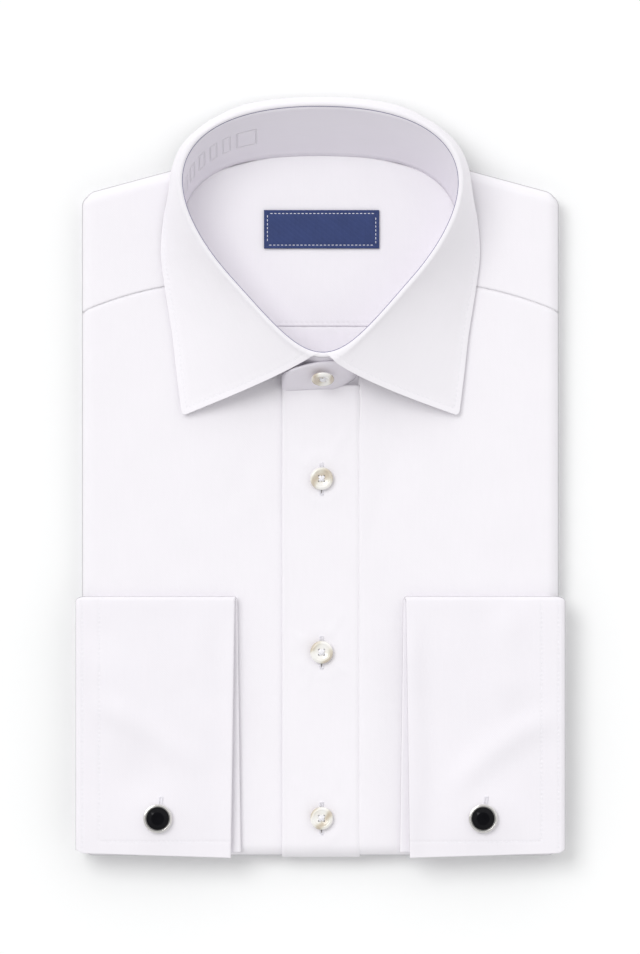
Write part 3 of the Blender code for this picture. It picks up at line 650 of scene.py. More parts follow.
def roundedOutline(halfWidth, bottom, corner, cornerSteps, sideSteps):
    cornerX = halfWidth - corner
    angle = degrees(atan2(shirt["shoulderSlope"], 1.0))
    cornerY = shoulderY(cornerX) - corner / cos(radians(angle))
    half = [(x, bottom) for x in spread(0.0, cornerX, 24)[:-1]]
    half += [(cornerX + corner * cos(radians(a)), bottom + corner * (1 + sin(radians(a))))
             for a in spread(-90.0, 0.0, cornerSteps)]
    half += [(halfWidth, y) for y in spread(bottom + corner, cornerY, sideSteps)[1:-1]]
    half += [(cornerX + corner * cos(radians(a)), cornerY + corner * sin(radians(a)))
             for a in spread(0.0, 90.0 - angle, cornerSteps)]
    half += [(x, shoulderY(x)) for x in spread(cornerX - 6.0, 4.0, 22)]
    full = half + [(0.0, shoulderY(0.0))] + [(-x, y) for x, y in reversed(half[1:])]
    normals = []
    for i in range(len(full)):
        along = Vector(full[(i + 1) % len(full)]) - Vector(full[i - 1])
        normals.append(Vector((along.y, -along.x)).normalized())
    return [Vector(p) for p in full], normals


def makeHiddenLayers():
    outline, normals = roundedOutline(shirt["halfWidth"], shirt["bottom"], layers["corner"], 9, 50)
    rings = []
    for k, edge in enumerate(layers["edges"]):
        middle, half = (edge["low"] + edge["high"]) / 2, (edge["high"] - edge["low"]) / 2
        for turn in spread(-90.0, 90.0, 9):
            a = radians(turn)
            rings.append((edge["inset"] + half * (1.0 - cos(a)), middle + half * sin(a), k))
        if k == 0:
            rings.append((layers["groove"], edge["high"], k))
            rings.append((layers["groove"], layers["edges"][1]["low"], k))
    points, faces = [], []
    for depth, z, k in rings:
        for p, n in zip(outline, normals):
            uneven = layers["unevenEdge"] * (0.5 + 0.5 * wave(p.x, p.y, layers["unevenSize"], k))
            inset = depth + uneven * smooth(*layers["unevenFade"], depth)
            points.append((p.x - n.x * inset, p.y - n.y * inset, z))
    tubeFaces(faces, 0, len(rings), len(outline))
    for fold in layers["underFolds"]:  # thin flaps below, with a soft edge
        addFlap(points, faces, fold)
    piece = meshPiece("hiddenLayers", points, faces, cotton)
    cut = piece.data.uv_layers.new(name="cut")
    for loop in piece.data.loops:
        x, y, z = piece.data.vertices[loop.vertex_index].co * 1000
        cut.data[loop.index].uv = (x, y + z)
    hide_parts("folded_layers")


def addFlap(points, faces, fold):
    loops, ring = [], []
    corner = layers["flapCorner"]
    left, right = fold["left"] + corner, fold["right"] - corner
    bottom, top = fold["bottom"] + corner, fold["top"] - corner
    for cx, cy, start in ((right, bottom, -90), (right, top, 0), (left, top, 90),
                          (left, bottom, 180)):
        for turn in spread(start, start + 90, 6):
            ring.append((cx, cy, cos(radians(turn)), sin(radians(turn))))
    for turn in spread(-90.0, 90.0, 5):
        a = radians(turn)
        out = corner - layers["flapRound"] * (1.0 - cos(a))
        z = fold["high"] / 2 * (1.0 + sin(a))
        loops.append([(cx + nx * out, cy + ny * out, z) for cx, cy, nx, ny in ring])
    tubeFaces(faces, len(points), len(loops), len(ring))
    for loop in loops:
        points.extend(loop)


# back and back yoke, seen through the neck
backs = dict(thickness=0.8, sag=0.25, sagSize=26.0, pleats=(-9.0, 9.0), pleatDepth=0.22,
             pleatWidth=0.8, seamDepth=0.12, seamWidth=0.5, seamGap=0.02, stitchUp=2.0,
             middleHalf=60.0, deepestMiddle=0.6, deepestSide=0.27)


def makeBacks():
    inset = shirt["edgeRadius"] + shirt["gap"]
    half = shirt["halfWidth"] - inset

    def level(x, y):
        sink = backs["sag"] * (0.5 + 0.5 * wave(x, y, backs["sagSize"], 3))
        for pleat in backs["pleats"]:  # the box pleat below the yoke seam
            if y < shirt["yokeSeam"]:
                sink += backs["pleatDepth"] * exp(-((x - pleat) / backs["pleatWidth"]) ** 2)
        fromSeam = (y - shirt["yokeSeam"]) / backs["seamWidth"]
        sink += backs["seamDepth"] * exp(-fromSeam ** 2)
        if abs(x) > backs["middleHalf"]:
            return backTop - min(sink, backs["deepestSide"])
        return backTop - min(sink, backs["deepestMiddle"])

    lowRows = [[(x, y, level(x, y)) for x in spread(-half, half, 161)]
               for y in spread(shirt["bottom"] + inset, 45.0, 24)
               + spread(46.0, shirt["yokeSeam"] - backs["seamGap"], 50)]
    highRows = []
    for t in spread(0.0, 1.0, 70):
        low = shirt["yokeSeam"] + backs["seamGap"]
        row = []
        for x in spread(-half, half, 121):
            y = low + (shoulderY(x) - inset - low) * t
            row.append((x, y, level(x, y)))
        highRows.append(row)
    clothSheet("backPanel", lowRows, backs["thickness"], cotton, ["back_panel"])
    clothSheet("backYoke", highRows, backs["thickness"], cotton, ["back_yoke"],
               seam=lambda r, c, along, down: (along, down - backs["stitchUp"]))


fronts = dict(
    thickness=0.7, placketRise=0.9, riseSide=(20.0, 1.0), riseTop=(54.0, 43.0), footY=45.0,
    swayUp=0.55, sway=0.35, swaySize=42.0, deepest=-0.38, edgeGap=0.03, seamDip=0.16,
    seamDipWidth=0.7, underlap=2.0, underTop=4.0, underTurn=(22.0, 47.0),
    aboveCuffs=(-56.0, -48.0), belowCollar=(24.0, 8.0), insideEdge=(118.0, 108.0),
    betweenCuffs=(38.0, 34.0), pastPlacket=(20.0, 26.0), betweenShare=0.5,
    creases=[  # on the wearer's right, then the wearer's left
        [dict(start=(-26, -8), end=(-70, -30), width=7.0, height=0.35, bend=3.0),
         dict(start=(-95, 22), end=(-110, -40), width=6.0, height=0.3, bend=-4.0),
         dict(start=(-34, 18), end=(-52, -28), width=4.5, height=-0.3, bend=2.0)],
        [dict(start=(30, 6), end=(64, -34), width=6.0, height=0.4, bend=-3.0),
         dict(start=(78, 20), end=(98, -44), width=8.0, height=0.3, bend=3.0),
         dict(start=(24, -40), end=(38, 16), width=4.0, height=-0.3, bend=1.5)],
    ],
)


def neckEdgeTable(side):
    table = []
    for i in range(361):
        share = 0.66 * i / 360
        point = neck(side * share)
        table.append((point.y - section(share, "lean"), abs(point.x) - 1.5))
    return table


neckEdges = {1: neckEdgeTable(1), -1: neckEdgeTable(-1)}


def neckEdgeX(y, side):
    best = 0.0
    for low, high in zip(neckEdges[side], neckEdges[side][1:]):
        if low[0] <= y:
            part = min(max((y - low[0]) / max(high[0] - low[0], 1e-6), 0.0), 1.0)
            best = mix(low[1], high[1], part)
    return best


def frontLift(x, y, side):
    # rises freely between collar and cuffs, only sinks where other cloth lies on it
    below = smooth(*fronts["belowCollar"], y)
    free = smooth(*fronts["aboveCuffs"], y) * below * smooth(*fronts["insideEdge"], x)
    between = smooth(*fronts["betweenCuffs"], x) * smooth(*fronts["pastPlacket"], x)
    free = max(free, between * below * fronts["betweenShare"])
    lift = fronts["sway"] * wave(x * side, y, fronts["swaySize"], 11 + side)
    lift += creaseLift(fronts["creases"][0 if side < 0 else 1], x * side, y)
    return lift * fronts["swayUp"] * free if lift > 0 else max(lift, fronts["deepest"])


def frontHeight(x, y, side):
    rise = 0.0
    if side > 0:
        rise = fronts["placketRise"] * smooth(*fronts["riseSide"], x - shirt["placketLeft"])
        rise *= smooth(*fronts["riseTop"], y)
    return frontTop + rise + frontLift(x, y, side)


def frontRows(side):
    radius = shirt["edgeRadius"]
    inner = shirt["placketLeft"] + fronts["edgeGap"]
    if side < 0:
        inner = fronts["underlap"] - shirt["placketLeft"]
    bendX, bendY = shirt["halfWidth"] - radius, shirt["bottom"] + radius
    past = edgeSteps(radius, 90.0, 9)
    rows = []
    for share in spread(1.0, 0.76, 34)[:-1] + spread(0.76, 0.0, 76) + [-p for p in past]:
        end = -share if share < 0 else 0.0
        yFlat = bendY + max(share, 0.0) * (yokeSeamY(60.0) - bendY)
        if side > 0:
            edge = max(neckEdgeX(yFlat, side), inner) if yFlat > fronts["footY"] else inner
        else:
            edge = mix(inner, max(neckEdgeX(yFlat, side), fronts["underTop"]),
                       smooth(*fronts["underTurn"], yFlat))
        row = []
        for x in spread(edge, bendX, 52) + [bendX + p for p in past]:
            topY = yokeSeamY(min(x, shirt["halfWidth"])) - fronts["edgeGap"]
            y = bendY + max(share, 0.0) * (topY - bendY)
            dx, dy, drop = overEdge(x - bendX, end, radius)
            z = frontHeight(x, y, side) - drop
            if end == 0.0:
                z -= fronts["seamDip"] * exp(-((topY - y) / fronts["seamDipWidth"]) ** 2)
            row.append((bendX + dx, (bendY - dy) if end > 0 else y, z))
        rows.append(row)
    return rows


frontYokes = dict(middle=68.0, neckTop=122.0, coverFrom=(118.0, 134.0), coverX=71.0, sink=0.3,
                  sinkSize=30.0, seamSink=0.05, seamWidth=0.5)


def yokeRows(side):
    radius = shirt["edgeRadius"]
    bendX = shirt["halfWidth"] - radius
    past = edgeSteps(radius, 90.0, 9)
    rows = []
    for share, end in [(1.0, p) for p in reversed(past)] + [(s, 0.0) for s in spread(1.0, 0.0, 48)]:
        seamY = yokeSeamY(frontYokes["middle"])
        yMiddle = seamY + share * (shoulderY(frontYokes["middle"]) - radius - seamY)
        edge = neckEdgeX(min(yMiddle, frontYokes["neckTop"]), side)
        edge += smooth(*frontYokes["coverFrom"], yMiddle) * (frontYokes["coverX"] - edge)
        row = []
        for x in spread(edge, bendX, 34) + [bendX + p for p in past]:
            flatX = min(x, shirt["halfWidth"])
            low, high = yokeSeamY(flatX) + fronts["edgeGap"], shoulderY(flatX) - radius
            dx, dy, drop = overEdge(x - bendX, end, radius)
            y = low + (high - low) * share
            sunk = max(-wave(x * side, y, frontYokes["sinkSize"], 21), 0.0)
            sink = frontYokes["sink"] * sunk
            sink += frontYokes["seamSink"] * exp(-((y - low) / frontYokes["seamWidth"]) ** 2)
            row.append((bendX + dx, y + (dy if end > 0 else 0.0), frontTop - drop - sink))
        rows.append(row)
    return rows


def makeFronts():
    for name, side in bothSides:
        front, yoke = frontRows(side), yokeRows(side)
        if side < 0:
            front, yoke = mirrored(front), mirrored(yoke)
        clothSheet("front" + name, [list(reversed(r)) for r in front], fronts["thickness"], cotton,
                   ["front_" + name.lower()], flatTop=frontTop)
        clothSheet("yoke" + name, [list(reversed(r)) for r in yoke], fronts["thickness"], cotton,
                   ["yoke_" + name.lower()], flatTop=frontTop)


# placket: a narrow band sewn down along one side
placket = dict(
    thickness=0.7, turn=84.0, radius=6.75, lap=0.8, edgeSink=0.32, edgeRound=0.8, sewnSink=0.62,
    sewnRound=2.6, ridge=0.20, ridgeIn=1.3, ridgeWidth=0.9, sway=0.16, swaySize=19.0, lower=0.05,
    pull=0.45, pullReach=6.5, puff=0.45, puffReach=11.0, puffWidth=3.5, puffSize=9.0,
    creases=[  # small pulls beside the buttons
        dict(start=(5, -92), end=(15, -99), width=1.6, height=0.20),
        dict(start=(-5, -84), end=(-15, -77), width=1.6, height=0.18),
        dict(start=(4, -80), end=(12, -66), width=2.2, height=0.20),
        dict(start=(-4, -95), end=(-9, -108), width=2.0, height=0.16),
        dict(start=(4, 6), end=(14, 24), width=3.0, height=0.30, bend=1.0),
        dict(start=(-6, 4), end=(-14, 14), width=2.4, height=0.18),
        dict(start=(-5, -164), end=(-13, -150), width=2.4, height=0.20),
        dict(start=(6, -160), end=(9, -140), width=3.0, height=0.16),
    ],
)
buttons = dict(radius=5.7, height=2.4, ys=(-0.7, -87.5, -170.5), x=0.6, holeRadius=0.62,
               holeStep=1.15, strandRadius=0.336, strands=(-0.322, 0.0, 0.322), threadFoot=1.0,
               threadIn=0.4, threadShoulder=0.60, threadArch=0.92, crossRise=0.34)


def placketRows():
    radius = placket["radius"]
    bendY = shirt["bottom"] + shirt["edgeRadius"]
    left, right = shirt["placketRight"], shirt["placketLeft"] + placket["lap"]
    xs = [left, left + 0.25, left + 0.7, left + 1.4] + spread(left + 2.4, right - 2.4, 44)
    xs += [right - 1.4, right - 0.7, right - 0.25, right]

    def level(x, y):
        lift = -placket["edgeSink"] * (1.0 - smooth(0.0, placket["edgeRound"], x - left)) ** 2
        lift -= placket["sewnSink"] * (1.0 - smooth(0.0, placket["sewnRound"], right - x)) ** 2
        lift += placket["ridge"] * exp(-((x - left - placket["ridgeIn"])
                                         / placket["ridgeWidth"]) ** 2)
        lift += placket["sway"] * wave(x, y, placket["swaySize"], 31) - placket["lower"]
        for by in buttons["ys"]:  # the cloth is drawn in a little round each button
            away = hypot(x - buttons["x"], y - by)
            lift -= placket["pull"] * exp(-(away / placket["pullReach"]) ** 2)
            ring = exp(-((away - placket["puffReach"]) / placket["puffWidth"]) ** 2)
            lift += placket["puff"] * ring * (0.5 + 0.5 * wave(x, y, placket["puffSize"], 33))
        return lift + creaseLift(placket["creases"], x, y)

    rows = []
    for y in spread(shirt["placketEnd"], bendY, 230):
        rows.append([(x, y, placketTop + level(x, y)) for x in xs])
    for end in edgeSteps(radius, placket["turn"], 10):
        turn = end / radius
        flatY = bendY - end
        rows.append([(x, bendY - radius * sin(turn),
                      placketTop + level(x, flatY) - radius * (1 - cos(turn))) for x in xs])
    return [list(reversed(r)) for r in rows]


def makePlacket():
    rows = placketRows()
    clothSheet("placket", rows, placket["thickness"], placketCotton, ["placket"])


# collar: stand, roll and fall
collar = dict(
    thickness=1.25, standThickness=1.0, rollWidth=2.7, rollRise=1.1, stitchIn=3.0,
    tabEnd=-18.2, tabTop=0.82, tabStep=2.0, tabCorner=7.0, underEnd=14.0, buttonUp=0.5,
    buttonOut=1.5, leafSway=0.45, leafSwaySize=34.0, pointRadius=2.3, bowReach=0.15,
    leafPuff=0.35, backBow=1.6, rollSink=0.2, rollFill=0.6, flatFrom=(8.0, 30.0),
    flat=(440.0, 78.0),
    bow={1: 2.0, -1: 1.3}, cornerDrop={1: 2.4, -1: 0.2},
)


def collarSection(signedShare, turns, drops):
    share = abs(signedShare)
    side = 1.0 if signedShare >= 0 else -1.0
    base = neck(signedShare)
    edge = Vector((side * section(share, "leafX"), section(share, "leafY")))
    rollZ, edgeZ = section(share, "roll"), section(share, "leafZ")
    ruling = edge - base
    outward = neckNormal(signedShare)
    across = max(ruling.dot(outward) / ruling.length, 0.42)
    width = min(collar["rollWidth"] / across, ruling.length * 0.85)
    along = ruling.normalized()
    rollEnd = base + along * width
    near = 1.0 - smooth(0.0, collar["bowReach"], share - collarSections[0]["share"])
    rollEnd.y -= collar["cornerDrop"][side] * near ** 2
    flatness = smooth(*collar["flatFrom"], ruling.length)
    points = []
    for turn in turns:
        a = radians(turn)
        where = base.lerp(rollEnd, 0.5 * (1.0 - cos(a)))
        points.append((where.x, where.y, rollZ + collar["rollRise"] * sin(a)))
    startZ = rollZ - collar["rollSink"] + collar["rollFill"] * flatness
    bow = collar["backBow"] * (1.0 - flatness)
    # near the front the fall hangs fuller than a straight line to its point
    sideways = Vector((-abs(along.y) * side, -abs(along.x)))
    retreat = pointRetreat(share) / max((edge - rollEnd).length, 1.0)
    for t in drops:
        t *= 1.0 - retreat
        where = rollEnd.lerp(edge, t) + outward * bow * sin(pi * t)
        full = collar["bow"][side] * sin(pi * min(t, 1.0) ** 0.7)
        where += sideways * full * near
        z = startZ + (edgeZ - startZ) * (t ** (1.0 - 0.12 * flatness))
        sway = collar["leafSway"] * wave(where.x, where.y, collar["leafSwaySize"], 41)
        z += sway * flatness * smooth(0.0, 0.2, t) * smooth(1.0, 0.8, t)
        z += collar["leafPuff"] * flatness * sin(pi * t)
        points.append((where.x, where.y, z))
    return points


def pointRetreat(share):
    # how far the fall's outer edge draws back beside its front edge, to round the point
    radius = collar["pointRadius"]
    away = (share - collarSections[0]["share"]) * neckHalfLength * 0.85
    return radius - sqrt(max(radius ** 2 - (radius - min(away, radius)) ** 2, 0.0))


def collarRows():
    first = collarSections[0]["share"]
    shares = [first + step for step in (0.0, 0.0006, 0.0015, 0.003, 0.0048, 0.007)]
    shares += spread(first + 0.0095, 0.12, 24)
    shares += spread(0.126, 0.992, 110)
    stations = shares + [1.0] + [-s for s in reversed(shares)]
    drops = spread(0.03, 0.94, 38) + [0.96, 0.978, 0.99, 0.997, 1.0]
    return [collarSection(s, spread(0.0, 160.0, 9), drops) for s in stations]


def edgeDistance(rows):
    # for each point, the way along and the way in from the fall's outer and front edges
    along = [rowLengths([row[c] for row in rows]) for c in (-1, len(rows[0]) // 2)]
    table = []
    for r, row in enumerate(rows):
        lengths = rowLengths(row)
        line = []
        for c in range(len(row)):
            fromEdge = lengths[-1] - lengths[c]
            fromFront = min(frontGap(rows[0], row[c]), frontGap(rows[-1], row[c]))
            if fromEdge < fromFront:
                line.append((along[0][r], fromEdge))
            else:
                past = -fromEdge if r < len(rows) / 2 else fromEdge
                line.append((along[0][r] + past, fromFront))
        table.append(line)
    return table


def frontGap(edgeRow, point):
    # distance in plan from a point to the curve of the collar's front edge
    place = Vector(point).xy
    best = 1e9
    for a, b in zip(edgeRow[8::3], edgeRow[11::3] + edgeRow[-1:]):
        start, along = Vector(a).xy, Vector(b).xy - Vector(a).xy
        share = min(max((place - start).dot(along) / max(along.length_squared, 1e-9), 0.0), 1.0)
        best = min(best, (start + along * share - place).length)
    return best


def makeCollar():
    rows = collarRows()
    distances = edgeDistance(rows)

    def seam(r, c, along, down):
        way, inside = distances[r][c]
        return way, inside - collar["stitchIn"]

    clothSheet("collarFall", rows, collar["thickness"], collarPaintedLightCotton, ["collar"],
               seam=seam, flat=collar["flat"])
    return rows


neckEdge = dict(radius=0.34, sides=8, down=0.12, out=0.10, frontReach=0.034, bandWidth=2.4,
                bandHeight=0.9, bandSink=0.15, bandThickness=0.7, hem=0.1,
                innerDrops=(4.6, 3.0, 1.5), outerDrops=(1.5, 3.0))


def makeNeckEdge():
    # a thin dark thread along the fold round the inside of the roll: painted shade for the dark gap
    # between stand and fall
    points, faces, path = [], [], []
    for s in spread(-1.0, 1.0, 361)[:-1]:
        place, normal = neck(s), neckNormal(s) if abs(s) < 0.985 else Vector((0, 1))
        level = section(abs(s), "roll") - neckEdge["down"]
        path.append(Vector((place.x + normal.x * neckEdge["out"],
                            place.y + normal.y * neckEdge["out"], level)))
    sides = neckEdge["sides"]
    for i, place in enumerate(path):
        along = (path[(i + 1) % len(path)] - path[i - 1]).normalized()
        side = along.cross(Vector((0, 0, 1))).normalized()
        up = side.cross(along)
        for k in range(sides):
            a = 2 * pi * k / sides
            points.append(tuple(place + (side * cos(a) + up * sin(a)) * neckEdge["radius"]))
    for i in range(len(path)):
        j = (i + 1) % len(path)
        for k in range(sides):
            m = (k + 1) % sides
            faces.append((i * sides + k, i * sides + m, j * sides + m, j * sides + k))
    piece = meshPiece("neckFoldPaintedShadeLine", points, faces, neckFoldPaintedShade, sharpAngle=60.0)
    rows = []  # rounded top of the stand between the two falls
    for s in spread(-neckEdge["frontReach"], neckEdge["frontReach"], 40):
        place, level = neck(s), section(abs(s), "roll")
        row = [(place.x, place.y, level - drop) for drop in neckEdge["innerDrops"]]
        for turn in spread(0.0, 180.0, 13):
            a = radians(turn)
            row.append((place.x, place.y - neckEdge["bandWidth"] * 0.5 * (1.0 - cos(a)),
                        level - neckEdge["bandSink"] + neckEdge["bandHeight"] * sin(a)))
        row += [(place.x, place.y - neckEdge["bandWidth"] - neckEdge["hem"], level - drop)
                for drop in neckEdge["outerDrops"]]
        rows.append(row)
    clothSheet("standTopEdge", rows, neckEdge["bandThickness"], cotton, [])


stand = dict(backFootSink=0.9, frontFootSink=0.7, topSink=0.1, frontTopSink=0.8, bow=-0.35,
             sway=0.18, swaySize=24.0, edgeIn=0.25, tabFlat=(30.0, 17.0), tabTopReach=7.0,
             tabRound=4.4, tabTop=57.8, tabBend=0.009, tabBendFrom=8.0, stitchUp=1.6)


def standSection(signedShare, stepOut, low, high, count=15):
    share = abs(signedShare)
    top = neck(signedShare)
    lean, footZ = section(share, "lean"), section(share, "foot")
    footZ -= stand["backFootSink"] * smooth(0.5, 0.7, share)
    footZ -= stand["frontFootSink"] * smooth(0.13, 0.1, share)
    topZ = section(share, "roll") - stand["topSink"]
    topZ -= stand["frontTopSink"] * (1.0 - smooth(0.4, 0.7, share))
    normal = neckNormal(signedShare)
    out = normal * stepOut
    points = []
    flatten = smooth(*stand["tabFlat"], abs(top.x)) * smooth(0.0, collar["tabStep"], stepOut)
    footShift = (tabFootY(top.x) - (top.y - lean + out.y)) * flatten
    highY = top.y - lean * (1.0 - high) + out.y
    topShift = (min(tabTopY(top.x), highY + stand["tabTopReach"]) - highY) * flatten
    for t in spread(low, high, count):
        ripple = wave(signedShare * 190.0, t * 30.0, stand["swaySize"], 51)
        bow = stand["bow"] * sin(pi * t) + stand["sway"] * ripple
        edge = stand["edgeIn"] * (1.0 - smooth(0.0, 0.05, high - t))
        points.append((top.x + out.x + normal.x * bow,
                       top.y - lean * (1.0 - t) + out.y + normal.y * (bow - edge)
                       + mix(footShift, topShift, (t - low) / max(high - low, 1e-6)),
                       footZ + (topZ - footZ) * t))
    return points


def tabFootY(x):
    # seam of the stand's front end to the fronts, in plan
    return 44.0 + 0.9 * smooth(-17.0, 6.0, x) + 5.6 * smooth(5.0, 19.0, x)


def tabTopY(x):
    # upper edge of the stand's front end; its rounded corner is cut by the section's height
    radius = stand["tabRound"]
    corner = max(collar["tabEnd"] + radius - x, 0.0)
    upper = stand["tabTop"] - stand["tabBend"] * max(stand["tabBendFrom"] - x, 0.0) ** 2
    return upper - radius + sqrt(max(radius ** 2 - corner ** 2, 0.0))


def neckShareAt(x):
    low, high = 0.0, 0.3
    for _ in range(40):
        middle = (low + high) / 2
        if neckHalf(middle).x < abs(x):
            low = middle
        else:
            high = middle
    return low


def standRows():
    rows, ways = [], []
    tabShare = neckShareAt(collar["tabEnd"])
    first = spread(0.0, 1.0, 12)[:-1]
    tabStations = [-tabShare + collar["tabCorner"] / neckHalfLength * (1 - cos(pi / 2 * t))
                   for t in first]
    tabStations += spread(-tabShare + collar["tabCorner"] / neckHalfLength, 0.10, 34)
    for s in tabStations:
        reach = (s + tabShare) * neckHalfLength
        rounding = 1.0
        if reach < collar["tabCorner"]:
            rounding = sqrt(max(1.0 - (1.0 - reach / collar["tabCorner"]) ** 2, 0.0))
        top = 0.22 + (collar["tabTop"] - 0.22) * rounding
        top += (1.0 - collar["tabTop"]) * smooth(0.02, 0.10, s)
        stepOut = collar["tabStep"] * (1.0 - smooth(0.06, 0.10, s))
        rows.append(standSection(s, stepOut, 0.0, top))
        ways.append(s)
    for s in spread(0.106, 1.0, 130):
        rows.append(standSection(s, 0.0, 0.0, 1.0))
        ways.append(s)
    for s in reversed(spread(0.1, 0.993, 130)):
        rows.append(standSection(-s, 0.0, 0.0, 1.0))
        ways.append(2.0 - s)
    for s in spread(-0.094, neckShareAt(collar["underEnd"]), 20):
        rows.append(standSection(s, 0.0, 0.0, 0.96))
        ways.append(2.0 + s)
    return rows, [way * neckHalfLength for way in ways]


def makeStand():
    rows, ways = standRows()

    def seam(r, c, along, down):
        return down, along - stand["stitchUp"]

    clothSheet("collarStand", rows, collar["standThickness"], standPaintedShadeCotton, ["collar_stand"],
               seam=seam, ways=ways)


slots = dict(start=244.4, step=7.5, count=5, halfWidth=1.9, halfHeight=5.6, wideMiddle=237.4,
             wideHalfWidth=5.0, line=0.42, depth=0.55)


def slotOutline(tree, sideways, upwards, halfWidth, y):
    # 1 on the outline of an upright slot, fading to 0 beside it
    across = mathNode(tree, 'SUBTRACT', sideways, halfWidth, x=-350, y=y)
    high = mathNode(tree, 'SUBTRACT', upwards, slots["halfHeight"], x=-350, y=y - 150)
    edge = mathNode(tree, 'SMOOTH_MAX', across, high, 1.2, x=-200, y=y)
    share = mathNode(tree, 'DIVIDE', edge, slots["line"], x=-60, y=y)
    square = mathNode(tree, 'MULTIPLY', share, share, x=20, y=y)
    return mathNode(tree, 'EXPONENT', mathNode(tree, 'MULTIPLY', square, -1.0), x=80, y=y)


def slotRelief(tree, cut):
    # the stiffener's slots, pressed through the wearer's right of the stand
    parts = addNode(tree, 'ShaderNodeSeparateXYZ', -1300, -700)
    tree.links.new(cut, parts.inputs[0])
    upwards = mathNode(tree, 'ABSOLUTE', parts.outputs[0], x=-1100, y=-900)
    along = parts.outputs[1]
    turn = mathNode(tree, 'DIVIDE', mathNode(tree, 'SUBTRACT', along, slots["start"]),
                    slots["step"], x=-950, y=-700)
    index = mathNode(tree, 'FLOOR', turn, x=-800, y=-650)
    inside = mathNode(tree, 'MULTIPLY', mathNode(tree, 'LESS_THAN', index, slots["count"] - 0.5),
                      mathNode(tree, 'GREATER_THAN', index, -0.5), x=-500, y=-600)
    local = mathNode(tree, 'MULTIPLY', mathNode(tree, 'SUBTRACT', turn, index), slots["step"],
                     x=-650, y=-750)
    sideways = mathNode(tree, 'ABSOLUTE', mathNode(tree, 'SUBTRACT', local, slots["step"] / 2),
                        x=-500, y=-750)
    narrow = mathNode(tree, 'MULTIPLY',
                      slotOutline(tree, sideways, upwards, slots["halfWidth"], -750), inside,
                      x=220, y=-700)
    fromWide = mathNode(tree, 'ABSOLUTE', mathNode(tree, 'SUBTRACT', along, slots["wideMiddle"]),
                        x=-500, y=-1100)
    wide = slotOutline(tree, fromWide, upwards, slots["wideHalfWidth"], -1100)
    outline = mathNode(tree, 'MAXIMUM', narrow, wide, x=400, y=-900)
    return mathNode(tree, 'MULTIPLY', outline, -slots["depth"], x=560, y=-900)


# the stand's cotton is darkened as painted shade, and pressed with the stiffener's slots
standPaintedShadeCotton = clothMaterial("standPaintedShadeCotton", "stand_inner", clothLook["paintedShadeFacing"], relief=slotRelief,
                            edgeFrom=0.93)
# the collar's cotton is a brightened copy of the white cotton: painted light that lifts its sloping
# falls
collarPaintedLightCotton = clothMaterial("collarPaintedLightCotton", "cloth_white",
                             dict(clothLook["cotton"], colour=(0.932, 0.909, 0.950)),
                             edgeTone=0.972, edgeFrom=0.90)
# the cuffs' cotton is a darkened copy of the white cotton: painted shade for the soft shade lying
# over the cuffs
cuffPaintedShadeCotton = clothMaterial("cuffPaintedShadeCotton", "cloth_white",
                           dict(clothLook["cotton"], colour=(0.886, 0.861, 0.905), drift=0.07,
                                driftSize=0.04), seamPitch=2.2, seamDepth=0.22)
placketCotton = clothMaterial("placketCotton", "cloth_white", clothLook["cotton"], edgeFrom=0.93)


# cuffs, turned back over the sleeve ends
cuff = dict(
    thickness=0.8, top=-59.5, bottom=-190.2, cloth=1.0, gap=0.3, edgeRadius=6.0, side=122.4,
    freeEnd=112.0, sideRadius=3.0, slope=2.4, slopeFrom=44.0, slopeWidth=78.0, slopeTop=-180.0,
    cornerUp=1.5, cornerFrom=118.6, cornerTop=-181.0, stepUp=2.8, stepTop=-160.0,
    edgeLift=1.5, edgeLiftX=43.0, edgeLiftReach=6.0, edgeLiftFade=(6.0, 34.0), handCurve=2.5,
    linkX=81.2, linkY=-170.4, swell=2.0, swellReach=12.0, sway=0.30, swaySize=48.0,
    frontRows=76, hand=dict(front=(42.6, 2.0), back=(41.4, -1.8)),
    stitches=dict(side=110.5, outer=119.0, bottom=-182.0, topIn=3.0, outerEnd=-186.0,
                  handEnd=47.0, handDrop=0.6, cornerIn=1.3),
    creases=[
        [dict(start=(-112, -84), end=(-94, -150), width=9.0, height=1.5, bend=3.0),
         dict(start=(-60, -64), end=(-50, -140), width=9.0, height=1.3, bend=-3.0),
         dict(start=(-114, -112), end=(-62, -146), width=7.0, height=1.3, bend=3.0)],
        [dict(start=(92, -66), end=(98, -116), width=9.0, height=1.6, bend=-3.0),
         dict(start=(118, -118), end=(64, -158), width=7.5, height=1.8, bend=-4.0),
         dict(start=(46, -66), end=(49, -184), width=5.5, height=1.3, bend=1.0)],
    ],
)
cuffBase = frontTop + shirt["gap"]
cuffHalf = 2 * cuff["cloth"] + 1.5 * cuff["gap"]
cuffMiddle = cuffBase + cuffHalf
innerLevel = cuff["gap"] / 2 + 0.05


def cuffLift(x, y, side):
    away = hypot(abs(x) - cuff["linkX"], y - cuff["linkY"])
    lift = cuff["swell"] * exp(-0.5 * (away / cuff["swellReach"]) ** 2)
    lift += cuff["sway"] * (0.5 + 0.5 * wave(x * side, y, cuff["swaySize"], 61 + side))
    return lift + max(creaseLift(cuff["creases"][0 if side < 0 else 1], x * side, y), 0.0)


def handEdge(y, front):
    down = (cuff["top"] - y) / (cuff["top"] - cuff["bottom"])
    start, change = cuff["hand"]["front"] if front > 0.5 else cuff["hand"]["back"]
    return start + change * down


